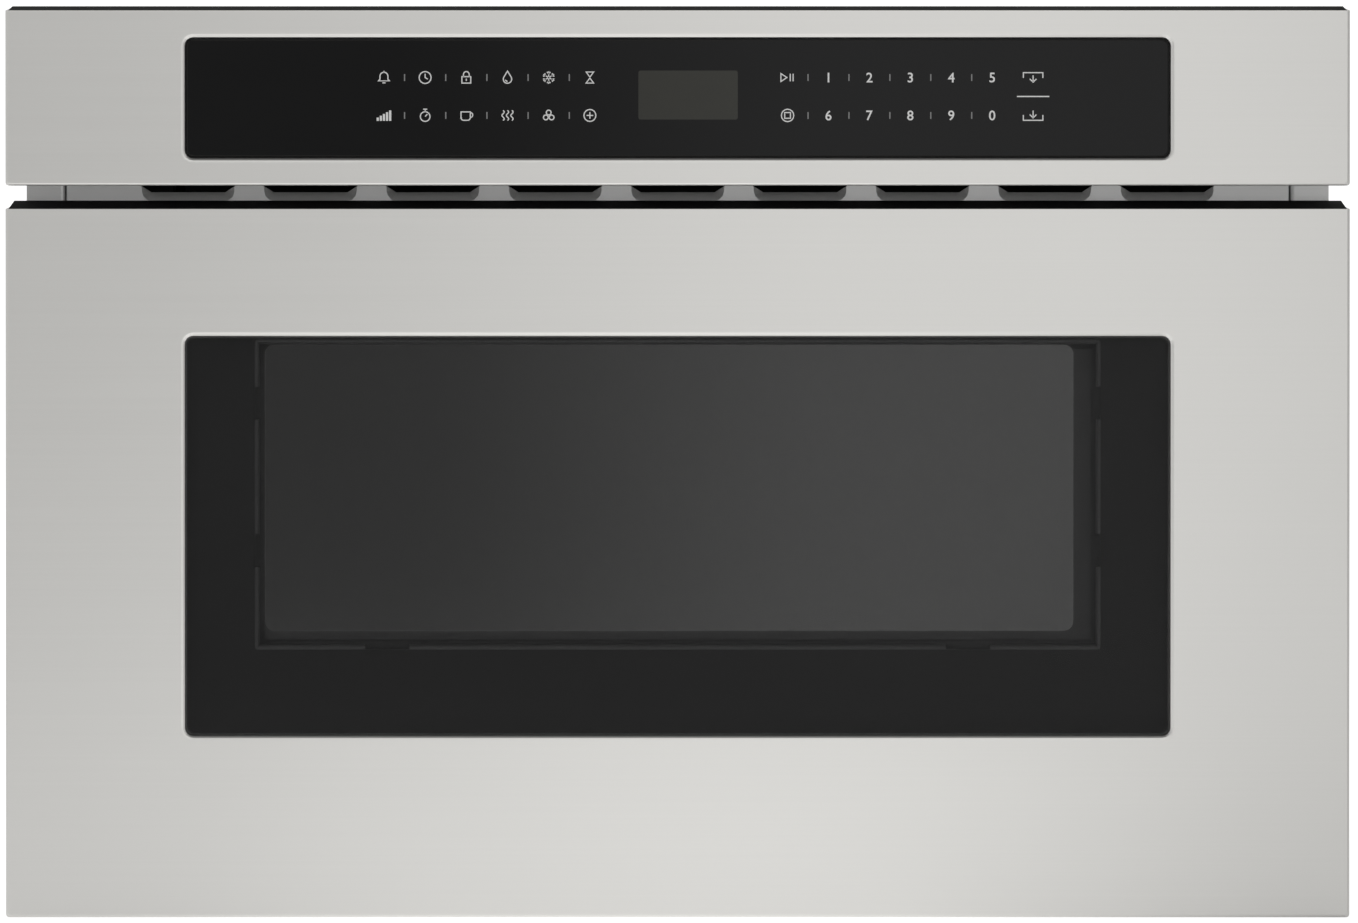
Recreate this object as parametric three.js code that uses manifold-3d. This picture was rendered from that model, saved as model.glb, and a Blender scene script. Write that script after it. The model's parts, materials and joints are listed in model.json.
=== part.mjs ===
// A built-in microwave drawer, modelled piece by piece.
// Millimetres. +X is the viewer's right, -Y the front, +Z up.
// The origin is the centre of the chassis base's underside.
import * as THREE from 'three';
import { mergeVertices } from 'three/addons/utils/BufferGeometryUtils.js';
import Module from 'manifold-3d';

const wasm = await Module();
wasm.setup();

// ---- Driving dimensions ---------------------------------------------------------------------

const FIT = 0.3;                    // gap left between two pieces that touch
const SHEET = 1.2;                  // chassis, cavity and duct sheet

// The face, as seen from the kitchen
const FACE_WIDTH = 606.4;
const PANEL_HEIGHT = 79.1;          // control panel
const VENT_GAP = 10.5;              // open line between control panel and drawer front
const DRAWER_FRONT_HEIGHT = 320;
const FACE_DROP = 16;               // the drawer front hangs this far below the chassis base
const FACE_DEPTH = 33;              // face to the cabinet's front plane
const SKIN = 1;                     // stainless sheet of the face
const SKIN_EDGE_RADIUS = 1.2;
const RETURN_DEPTH = 28;            // the skin's folded sides
const RETURN_DRAFT = 2.2;           // how far the folded sides lean in at the back
const TOP_CAP = 3;
const PANEL_CAP_DEPTH = 22;
const PANEL_CAP_RISE = 1;           // the caps climb by this towards their backs
const DRAWER_CAP_RISE = 2.4;

// Glass, set flush in a folded opening
const GLASS_MARGIN = 81.45;         // glass to the face's side edges
const GLASS_CORNER = 3.2;
const GLASS_CLEARANCE = 0.4;
const GLASS_SET = 0.9;              // glass surface below the face
const GLASS_CHAMFER = 0.5;
const FOLD_RADIUS = 2.2;
const CONTROL_GLASS_HEIGHT = 53.6;
const CONTROL_GLASS_LIFT = 12.8;    // above the control panel's lower edge
const CONTROL_GLASS = 3;
const WINDOW_HEIGHT = 179.6;
const WINDOW_LIFT = 82.5;           // above the drawer front's lower edge
const WINDOW_GLASS = 4;
const DISPLAY_WIDTH = 44.8;
const DISPLAY_HEIGHT = 22.1;
const DISPLAY_X = 4.7;
const DISPLAY_LIFT = 40.9;          // display centre above the control panel's lower edge

// Chassis
const FACE_OVERHANG = 27.2;         // the face reaches this far past the chassis side
const PANEL_RISE = 23.6;            // control panel's top above the chassis
const CHASSIS_DEPTH = 560;
const PLATE = 1.5;                  // front plate and cabinet flanges
const FLANGE_WIDTH = 17.7;          // cabinet flange, out from the chassis side
const FLANGE_RETURN = 30;
const FLANGE_SCREWS = [0.12, 0.42, 0.72];    // their heights, as shares of the chassis
const FLANGE_SCREW_RADIUS = 2.3;
const DRAWER_GAP = 1.5;             // between the closed drawer front and the front plate
const GRILLE_OVERLAP = 8;           // louvred upper sheet, below the drawer's top
const SLOT = 6;                     // width of the cooling slots in the sheets
const SLOT_LENGTH = 50;
const SLOT_INSET = 40;              // slots to the chassis' rear
const GLAND_INSET = 74.8;           // cord gland to the chassis side
const GLAND_DROP = 50;              // cord gland below the chassis' top
const GLAND_RADIUS = 11;
const GLAND_BORE = 6;

// Louvres of the vent grille
const LOUVRES = 9;
const LOUVRE_MARGIN = 27.3;         // row of louvres to the chassis side
const LOUVRE_BRIDGE = 11.4;         // sheet between two louvres
const LOUVRE_LIFT = 1.2;            // lip's foot above the drawer's top
const LOUVRE_LIP = 5;
const LOUVRE_SLOT = 3.2;
const LOUVRE_DEPTH = 4;
const LOUVRE_FLARE = 5.2;           // each end slants out by this much
const CABLE_HOLE = 12;              // radius

// Oven cavity
const SLIDE_SPACE = 45;             // between cavity and chassis side
const CAVITY_DROP = 19;             // cavity's ceiling below the drawer front's top
const MACHINE_SPACE = 120;          // behind the cavity, for generator and fan
const CAVITY_FLOOR = 94;
const WELL_RADIUS = 100;
const WELL_DEPTH = 20;
const GUIDE_WIDTH = 92;
const GUIDE_HEIGHT = 42;
const GUIDE_REACH = 60;             // waveguide in front of the stirrer's axis
const GUIDE_TAIL = 44;              // waveguide behind the magnetron's axis
const STIRRER_RADIUS = 82;
const STIRRER_SHAFT = 3;
const LAMP_INSET = 85;              // lamp in front of the cavity's rear
const LAMP_Z = 255;
const LAMP_RADIUS = 11;
const LAMP_LENGTH = 24;
const LAMP_HOLE = [28, 20];         // depth and height
const VENT_HOLES = [6, 3];          // columns and rows in the cavity's rear
const VENT_HOLE_RADIUS = 3;
const VENT_HOLE_PITCH = 11;
const VENT_HOLES_X = -150;
const VENT_HOLES_Z = 240;
const STIRRER_COVER = 1.3;
const STIRRER_COVER_OVERLAP = 12;
const STIRRER_MOTOR_RADIUS = 24;
const STIRRER_MOTOR_HEIGHT = 18;
const STIRRER_MOTOR_EARS = [66, 14];
const WAVEGUIDE_PORT = 24;          // radius

// Microwave generator, behind the cavity
const MAGNETRON_WIDTH = 88;
const MAGNETRON_DEPTH = 76;
const MAGNETRON_HEIGHT = 74;
const MAGNETRON_CLEARANCE = 8.8;    // behind the cavity
const MAGNETRON_ANTENNA = 8;
const TRANSFORMER_WIDTH = 96;
const TRANSFORMER_DEPTH = 62;
const TRANSFORMER_HEIGHT = 82;
const TRANSFORMER_LEG = 19;
const TRANSFORMER_WINDOW = 17;
const TRANSFORMER_FOOT = 8;
const REAR_SPACE = 34;              // between transformer and rear
const CAPACITOR_WIDTH = 34;
const CAPACITOR_DEPTH = 54;
const CAPACITOR_HEIGHT = 84;
const CAPACITOR_SPACE = 12;         // between transformer and capacitor

// Drawer box
const BOX_SIDE_CLEARANCE = 7;
const BOX_FLOOR_CLEARANCE = 4;
const BOX_WALL = 4;
const BOX_WALL_HEIGHT = 120;
const BOX_REAR_CLEARANCE = 18.4;    // closed drawer to the cavity's rear
const BOX_FLOOR = 3;
const BOX_LEDGE = 15;
const TRAY = 4;
const TRAY_CLEARANCE = 2;

// Door frame behind the drawer's skin
const WEB_DEPTH = 12.8;             // face to the front of the door frame's web
const CHOKE_WIDTH = 20;
const CHOKE_OFFSET = 5;             // choke channel outside the cavity's opening
const CHOKE_COVER = 1.4;
const VIEW_MARGIN = 31.25;          // window glass beside the opening in its frame
const VIEW_LIFT = 38.5;             // above the window glass's lower edge
const VIEW_HEIGHT = 139.5;
const FRAME_LIP = 4.6;
const LIP_BEND = 1.8;               // the lip bends back this far inside the frame's opening
const NOTCH = 15;                   // gaps in the frame's lip
const LOWER_NOTCH = 20;
const SIDE_NOTCHES = [44.5, 111];   // their centres above the view
const LOWER_NOTCH_X = 131;
const SCREEN_MARGIN = 8;
const SCREEN_DISH = 1;              // the screen's middle stands forward by this
const SCREEN_STEP = 4;

// Interlock: a striker on the drawer front presses a switch's plunger
const STRIKER_INSET = 10;           // striker to the chassis side
const STRIKER_Z = 215;
const STRIKER_RADIUS = 4;
const STRIKER_REACH = 10;           // tip behind the cabinet's front plane
const STRIKER_FOOT = [26, 20];
const STRIKER_HOLE = 1.5;           // clearance round the striker
const PLUNGER_RADIUS = 2.5;
const SWITCH_SETBACK = 10;          // switch behind the striker's tip
const SWITCH_LENGTH = 26;
const SWITCH_HEIGHT = 30;
const SWITCH_WIDTH = 9;             // inboard of the plunger's axis

// Telescopic slides
const RAIL_LENGTH = 450;
const RAIL_WIDTH = 12.7;
const RAIL_HEIGHT = 45;
const RAIL_LOW = 130;
const RAIL_SHEET = 1.2;
const RAIL_GAP = 1.4;               // between one section's web and the next section
const CAGE_SHEET = 0.6;
const RAIL_SET_BACK = 5;            // behind the cabinet's front plane
const BALL = 2.4;
const BALL_PLAY = 0.1;
const BALLS = 4;
const BALL_PITCH = 42;
const ARM = 2;
const ARM_LOW = 52;
const ARM_LENGTH = 448.7;
const ARM_FOOT = 30;                // arm's front foot, screwed to the door frame
const DRAWER_TRAVEL = 381;

// Rack drive
const PRESSURE_ANGLE = THREE.MathUtils.degToRad(25);
const TOOTH_PLAY = 0.16;            // taken off each flank
const RACK_MODULE = 2;
const RACK_PINION_TEETH = 12;
const RACK_BACK = 8;
const RACK_WIDTH = 9.6;
const GEAR_MODULE = 1.25;
const GEAR_TEETH = 36;
const MOTOR_TEETH = 12;
const GEAR_WIDTH = 7;
const SHAFT_RADIUS = 4;
const SHAFT_SETBACK = 35;           // behind the cabinet's front plane
const SHAFT_Z = 40;
const BEARING_PLAY = 0.3;
const GEARBOX_RADIUS = 21;
const GEARBOX_LENGTH = 28;
const DRIVE_MOTOR_RADIUS = 17;
const DRIVE_MOTOR_LENGTH = 46;
const CHEEK = 3;                    // bracket's cheeks, and the room between them and the wheel

// Control electronics
const HOUSING_WALL = 2;
const HOUSING_SLOTS = 7;
const BOARD = 1.6;
const CONTROL_BOARD_LENGTH = 300;
const CONTROL_BOARD_STANDOFF = 12;
const POWER_BOARD_LENGTH = 220;
const POWER_BOARD_DEPTH = 130;
const POWER_BOARD_SETBACK = 50;     // behind the cabinet's front plane
const POWER_BOARD_STANDOFF = 7;

// Cooling fan
const FAN_INSET = 106;              // fan's axis to the chassis side
const FAN_Z = 112;
const FAN_FRAME = 124;
const FAN_RADIUS = 52;
const FAN_BLADES = 5;
const FAN_DEPTH = 26;
const FAN_SHAFT = 2.5;
const FAN_MOTOR_RADIUS = 17;
const FAN_MOTOR_LENGTH = 30;
const FAN_COIL = [46, 14, 54];      // width, depth and height
const FAN_COIL_LIFT = 7;

// ---- Places worked out from them ------------------------------------------------------------

const faceX = FACE_WIDTH / 2;
const frontY = -CHASSIS_DEPTH / 2;
const rearY = CHASSIS_DEPTH / 2;
const faceY = frontY - FACE_DEPTH;
const plateY = frontY - PLATE;
const drawerRearY = plateY - DRAWER_GAP;
const drawerLowZ = -FACE_DROP;
const drawerTopZ = drawerLowZ + DRAWER_FRONT_HEIGHT;
const panelLowZ = drawerTopZ + VENT_GAP;
const panelTopZ = panelLowZ + PANEL_HEIGHT;
const chassisTopZ = panelTopZ - PANEL_RISE;
const chassisX = faceX - FACE_OVERHANG;
const sideInnerX = chassisX - SHEET;
const floorZ = SHEET + FIT;                         // top of the base pan, plus the gap
const ceilingZ = chassisTopZ - SHEET - FIT;         // underside of the top cover, less the gap
const cavityX = chassisX - SLIDE_SPACE;
const cavityTopZ = drawerTopZ - CAVITY_DROP;
const cavityFrontY = frontY + FIT;
const cavityRearY = rearY - MACHINE_SPACE;
const wellY = (frontY + cavityRearY) / 2;
const lampY = cavityRearY - LAMP_INSET;
const glassX = faceX - GLASS_MARGIN;
const controlGlassLowZ = panelLowZ + CONTROL_GLASS_LIFT;
const controlGlassZ = [controlGlassLowZ, controlGlassLowZ + CONTROL_GLASS_HEIGHT];
const windowZ = [drawerLowZ + WINDOW_LIFT, drawerLowZ + WINDOW_LIFT + WINDOW_HEIGHT];
const viewX = glassX - VIEW_MARGIN;
const viewZ = [windowZ[0] + VIEW_LIFT, windowZ[0] + VIEW_LIFT + VIEW_HEIGHT];
const displayZ = panelLowZ + DISPLAY_LIFT;
const webY = faceY + WEB_DEPTH;
const webRearY = webY + SHEET;
const boxX = cavityX - BOX_SIDE_CLEARANCE;
const boxLowZ = CAVITY_FLOOR + BOX_FLOOR_CLEARANCE;
const innerGlassY = webRearY + FIT;
const boxFrontY = innerGlassY + CONTROL_GLASS + FIT;
const boxRearY = cavityRearY - BOX_REAR_CLEARANCE;
const wellLowZ = CAVITY_FLOOR - WELL_DEPTH - SHEET;
const guideTopZ = wellLowZ - FIT;
const guideLowZ = guideTopZ - GUIDE_HEIGHT;
const railX = sideInnerX - FIT - RAIL_WIDTH;        // inner edge of a slide
const railY = [frontY + RAIL_SET_BACK, frontY + RAIL_SET_BACK + RAIL_LENGTH];
const railTopZ = RAIL_LOW + RAIL_HEIGHT;
const armX = railX - FIT - ARM;
const rackPitch = Math.PI * RACK_MODULE;
const pinionRadius = RACK_MODULE * RACK_PINION_TEETH / 2;
const rackX = [armX - FIT - RACK_WIDTH, armX - FIT];
const shaftY = frontY + SHAFT_SETBACK;
const motorAxisY = shaftY + GEAR_MODULE * (GEAR_TEETH + MOTOR_TEETH) / 2;
const strikerX = chassisX - STRIKER_INSET;
const strikerTipY = frontY + STRIKER_REACH;
const grilleLowZ = drawerTopZ - GRILLE_OVERLAP;
const louvrePitch = 2 * (chassisX - LOUVRE_MARGIN) / LOUVRES;
const louvreWidth = louvrePitch - LOUVRE_BRIDGE;
const lipLowZ = drawerTopZ + LOUVRE_LIFT;
const lipHighZ = lipLowZ + LOUVRE_LIP;
const slotHighZ = lipHighZ + LOUVRE_SLOT;
const ductTopZ = slotHighZ + 2;
const magnetronY = cavityRearY + SHEET + MAGNETRON_CLEARANCE + MAGNETRON_DEPTH / 2;
const fanX = chassisX - FAN_INSET;

// ---- Solids ---------------------------------------------------------------------------------

const { Vector2, Vector3 } = THREE;
const AXIS_X = new Vector3(1, 0, 0);
const AXIS_Y = new Vector3(0, 1, 0);
const AXIS_Z = new Vector3(0, 0, 1);
const PLANES = {
  x: new THREE.Matrix4().makeBasis(AXIS_Y, AXIS_Z, AXIS_X),
  y: new THREE.Matrix4().makeBasis(AXIS_X, AXIS_Z, AXIS_Y.clone().negate()),
  z: new THREE.Matrix4(),
};

function solidFrom(geometry) {
  geometry.deleteAttribute('normal');
  geometry.deleteAttribute('uv');
  const merged = mergeVertices(geometry, 1e-4);
  return new wasm.Manifold(new wasm.Mesh({
    numProp: 3,
    vertProperties: new Float32Array(merged.attributes.position.array),
    triVerts: new Uint32Array(merged.index.array),
  }));
}

function geometryFrom(solid) {
  const { vertProperties, triVerts } = solid.getMesh();
  const geometry = new THREE.BufferGeometry();
  geometry.setAttribute('position', new THREE.BufferAttribute(vertProperties, 3));
  geometry.setIndex(new THREE.BufferAttribute(triVerts, 1));
  return geometry;
}

const join = (...solids) => solids.reduce((whole, piece) => whole.add(piece));
const cut = (solid, ...tools) => solid.subtract(join(...tools));
const repeat = (count, make) => Array.from({ length: count }, (_, index) => make(index));
const centred = (index, count, pitch) => (index - (count - 1) / 2) * pitch;
const around = (centre, size) => [centre - size / 2, centre + size / 2];
const grown = ([low, high], by) => [low - by, high + by];

function block([x0, x1], [y0, y1], [z0, z1]) {
  const geometry = new THREE.BoxGeometry(x1 - x0, y1 - y0, z1 - z0);
  geometry.translate((x0 + x1) / 2, (y0 + y1) / 2, (z0 + z1) / 2);
  return solidFrom(geometry);
}

// A flat shape pushed along an axis. It is drawn in the other two axes: y,z or x,z or x,y.
function prism(axis, points, low, high, holes = []) {
  const shape = new THREE.Shape(points);
  shape.holes = holes.map((hole) => new THREE.Path(hole));
  const geometry = new THREE.ExtrudeGeometry(shape, { depth: high - low, bevelEnabled: false });
  geometry.applyMatrix4(PLANES[axis]);
  geometry.translate(axis === 'x' ? low : 0, axis === 'y' ? high : 0, axis === 'z' ? low : 0);
  return solidFrom(geometry);
}

function circle([a, b], radius, sides = 16) {
  return repeat(sides, (index) => {
    const angle = 2 * Math.PI * (index + 0.5) / sides;
    return new Vector2(a + radius * Math.cos(angle), b + radius * Math.sin(angle));
  });
}

const rod = (axis, centre, radius, low, high, sides) =>
  prism(axis, circle(centre, radius, sides), low, high);
const tube = (axis, centre, outer, inner, low, high, sides) =>
  prism(axis, circle(centre, outer, sides), low, high, [circle(centre, inner, sides)]);

const rectangle = ([a0, a1], [b0, b1]) =>
  [new Vector2(a0, b0), new Vector2(a1, b0), new Vector2(a1, b1), new Vector2(a0, b1)];

// A quarter of a circle, from the given quarter turn to the next.
const quarterArc = ([a, b], radius, quarter, steps) => repeat(steps + 1, (step) => {
  const angle = Math.PI / 2 * (quarter + step / steps);
  return new Vector2(a + radius * Math.cos(angle), b + radius * Math.sin(angle));
});

const roundedRectangle = ([a0, a1], [b0, b1], radius, steps = 4) => [
  ...quarterArc([a0 + radius, b0 + radius], radius, 2, steps),
  ...quarterArc([a1 - radius, b0 + radius], radius, 3, steps),
  ...quarterArc([a1 - radius, b1 - radius], radius, 0, steps),
  ...quarterArc([a0 + radius, b1 - radius], radius, 1, steps),
];

// A solid through convex rings of as many points each, all running the same way round.
function loft(rings) {
  const count = rings[0].length;
  const positions = rings.flat().flatMap((point) => [point.x, point.y, point.z]);
  const index = [];
  const last = (rings.length - 1) * count;
  for (let step = 1; step < count - 1; step += 1) {
    index.push(0, step, step + 1, last, last + step + 1, last + step);
  }
  for (let ring = 0; ring < rings.length - 1; ring += 1) {
    for (let step = 0; step < count; step += 1) {
      const a = ring * count + step;
      const b = ring * count + (step + 1) % count;
      index.push(a, a + count, b + count, a, b + count, b);
    }
  }
  const geometry = new THREE.BufferGeometry();
  geometry.setAttribute('position', new THREE.Float32BufferAttribute(positions, 3));
  geometry.setIndex(index);
  return solidFrom(geometry);
}

const ringAt = (points, y) => points.map((point) => new Vector3(point.x, y, point.y));

function mirrored(solid) {
  const geometry = geometryFrom(solid);
  geometry.scale(-1, 1, 1);
  const triangles = geometry.index.array;
  for (let start = 0; start < triangles.length; start += 3) {
    [triangles[start], triangles[start + 1]] = [triangles[start + 1], triangles[start]];
  }
  return solidFrom(geometry);
}

// A quarter round in steps: how far in from the edge, and how deep, each step lies.
const quarterRound = (radius, steps) => repeat(steps + 1, (step) => {
  const angle = Math.PI / 2 * step / steps;
  return { inset: radius * (1 - Math.sin(angle)), depth: radius * (1 - Math.cos(angle)) };
});

// ---- Materials ------------------------------------------------------------------------------

const material = (color, roughness, metalness) =>
  new THREE.MeshStandardMaterial({ color, roughness, metalness, flatShading: true });
const STAINLESS = material(0xc8c8c4, 0.3, 1);
const GALVANISED = material(0xa9adb0, 0.45, 0.9);
const LOUVRED_STEEL = material(0x9a9a98, 0.4, 0.8);
const ENAMEL = material(0xb9b9b4, 0.4, 0.1);
const BLACK_PLASTIC = material(0x141414, 0.45, 0);
const BLACK_GLASS = material(0x1d1d1e, 0.06, 0);
const SMOKED_METAL = material(0x2c2c2c, 0.5, 0.3);
const CERAMIC = material(0xd9d6cc, 0.35, 0);
const BOARD_GREEN = material(0x1f5a3c, 0.5, 0);
const COPPER = material(0xa5552b, 0.35, 0.9);
const IRON = material(0x4a4b4d, 0.6, 0.7);
const ACETAL = material(0xe6e4da, 0.4, 0);
const GREASED_STEEL = material(0xb5b7b8, 0.25, 1);
const RED_PLASTIC = material(0x8c1f1a, 0.5, 0);

const model = new THREE.Group();

function place(name, solid, look) {
  const mesh = new THREE.Mesh(geometryFrom(solid), look);
  mesh.name = name;
  model.add(mesh);
}

// ---- The face: folded stainless skins, their caps and glass ---------------------------------

// A folded skin: front sheet, two leaning sides and a lower return, open at the top and back.
function foldedSkin([lowZ, topZ]) {
  const outline = (inset, draft) => {
    const x = faceX - inset - draft;
    const centreX = x - SKIN_EDGE_RADIUS;
    const centreZ = lowZ + inset + SKIN_EDGE_RADIUS;
    return [
      ...quarterArc([-centreX, centreZ], SKIN_EDGE_RADIUS, 2, 2),
      ...quarterArc([centreX, centreZ], SKIN_EDGE_RADIUS, 3, 2),
      new Vector2(x, topZ), new Vector2(-x, topZ),
    ];
  };
  const draftAt = (depth) => RETURN_DRAFT * depth / RETURN_DEPTH;
  const edges = quarterRound(SKIN_EDGE_RADIUS, 3);
  const outer = loft([
    ...edges.map(({ inset, depth }) => ringAt(outline(inset, draftAt(depth)), faceY + depth)),
    ringAt(outline(0, RETURN_DRAFT), faceY + RETURN_DEPTH),
  ]);
  const insideAt = (depth) => {
    const x = faceX - SKIN - draftAt(depth);
    return ringAt(rectangle([-x, x], [lowZ + SKIN, topZ + SKIN]), faceY + depth);
  };
  return cut(outer, loft([insideAt(SKIN), insideAt(RETURN_DEPTH + SKIN)]));
}

// The opening for a pane: its edge is folded in around the glass, as deep as the glass sits.
function foldOpening(skin, openingZ, thickness) {
  const collarY = faceY + GLASS_SET + thickness;
  const openingAt = (growth) => roundedRectangle(
    grown([-glassX, glassX], growth), grown(openingZ, growth), GLASS_CORNER + growth);
  const collar = prism('y', openingAt(SKIN), faceY + SKIN / 2, collarY);
  const flare = quarterRound(FOLD_RADIUS, 4).map(
    ({ inset, depth }) => ringAt(openingAt(inset), faceY + depth));
  const opening = loft([
    ringAt(openingAt(FOLD_RADIUS), faceY - SKIN),
    ...flare,
    ringAt(openingAt(0), collarY + SKIN),
  ]);
  return cut(join(skin, collar), opening);
}

function pane(paneZ, thickness) {
  const outline = (inset) => roundedRectangle(
    grown([-glassX, glassX], -GLASS_CLEARANCE - inset),
    grown(paneZ, -GLASS_CLEARANCE - inset), GLASS_CORNER - GLASS_CLEARANCE);
  const surface = faceY + GLASS_SET;
  return loft([
    ringAt(outline(GLASS_CHAMFER), surface),
    ringAt(outline(0), surface + GLASS_CHAMFER),
    ringAt(outline(0), surface + thickness),
  ]);
}

// A moulded cap that closes a skin's open top: it climbs towards its back, and is hollow below.
function topCap(topZ, depth, rise) {
  const front = faceY + SKIN + FIT;
  const rear = faceY + depth;
  const sectionAt = (y, highZ) => {
    const half = faceX - SKIN - FIT - RETURN_DRAFT * (y - faceY) / RETURN_DEPTH;
    return ringAt(rectangle([-half, half], [topZ - TOP_CAP, highZ]), y);
  };
  const underside = block(grown([-faceX, faceX], -3 * TOP_CAP), [front + 3 * TOP_CAP, rear - TOP_CAP],
    [topZ - TOP_CAP - 1, topZ - TOP_CAP / 2]);
  return cut(loft([sectionAt(front, topZ), sectionAt(rear, topZ + rise)]), underside);
}

function makeControlPanel() {
  const panelZ = [panelLowZ, panelTopZ];
  const housingX = faceX - SKIN - RETURN_DRAFT - 2 * FIT;
  const housingZ = [panelLowZ + SKIN + FIT, panelTopZ - TOP_CAP - FIT];
  const housingY = [faceY + GLASS_SET + CONTROL_GLASS + FIT, plateY - FIT];
  const displayX = around(DISPLAY_X, DISPLAY_WIDTH);
  const displaySpan = around(displayZ, DISPLAY_HEIGHT);
  const boardX = CONTROL_BOARD_LENGTH / 2;
  const boardZ = grown(controlGlassZ, -2);
  const boardY = housingY[0] + CONTROL_BOARD_STANDOFF;

  place('control_bezel', foldOpening(foldedSkin(panelZ), controlGlassZ, CONTROL_GLASS), STAINLESS);
  place('control_top_cap', topCap(panelTopZ, PANEL_CAP_DEPTH, PANEL_CAP_RISE), BLACK_PLASTIC);
  place('control_glass', pane(controlGlassZ, CONTROL_GLASS), BLACK_GLASS);
  const inside = block(grown([-housingX, housingX], -HOUSING_WALL),
    [housingY[0] + HOUSING_WALL, housingY[1] + 1], grown(housingZ, -HOUSING_WALL));
  const displayHole = block(
    grown(displayX, FIT), [housingY[0] - 1, housingY[0] + 2 * HOUSING_WALL], grown(displaySpan, FIT));
  const posts = [-1, 1].flatMap((side) => boardZ.map((z, row) => rod('y',
    [side * (boardX - 6), z + (row ? -6 : 6)], 4, housingY[0] + 1, boardY - FIT, 10)));
  const slotPitch = 2 * housingX / (HOUSING_SLOTS + 1);
  const coolingSlots = repeat(HOUSING_SLOTS, (index) => block(
    around(centred(index, HOUSING_SLOTS, slotPitch), slotPitch * 0.6),
    grown(housingY, -2 * HOUSING_WALL), [housingZ[0] - 1, housingZ[0] + HOUSING_WALL + 1]));
  place('control_housing', join(
    cut(block([-housingX, housingX], housingY, housingZ), inside, displayHole, ...coolingSlots), ...posts,
  ), BLACK_PLASTIC);

  const chips = [[-110, 26, 5], [-62, 18, 2], [62, 30, 4], [104, 14, 3]].map(([x, width, height]) => block(
    around(x, width), [boardY + BOARD / 2, boardY + BOARD + height], around(displayZ, width * 0.7)));
  const display = join(
    block(displayX, [housingY[0], boardY + 0.1], displaySpan),
    block(grown(displayX, 3), [housingY[0] + HOUSING_WALL + FIT, boardY + 0.1], grown(displaySpan, 3)),
  );
  place('control_board', join(
    block([-boardX, boardX], [boardY, boardY + BOARD], boardZ), display, ...chips,
  ), BOARD_GREEN);
}

// ---- Chassis --------------------------------------------------------------------------------

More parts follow.
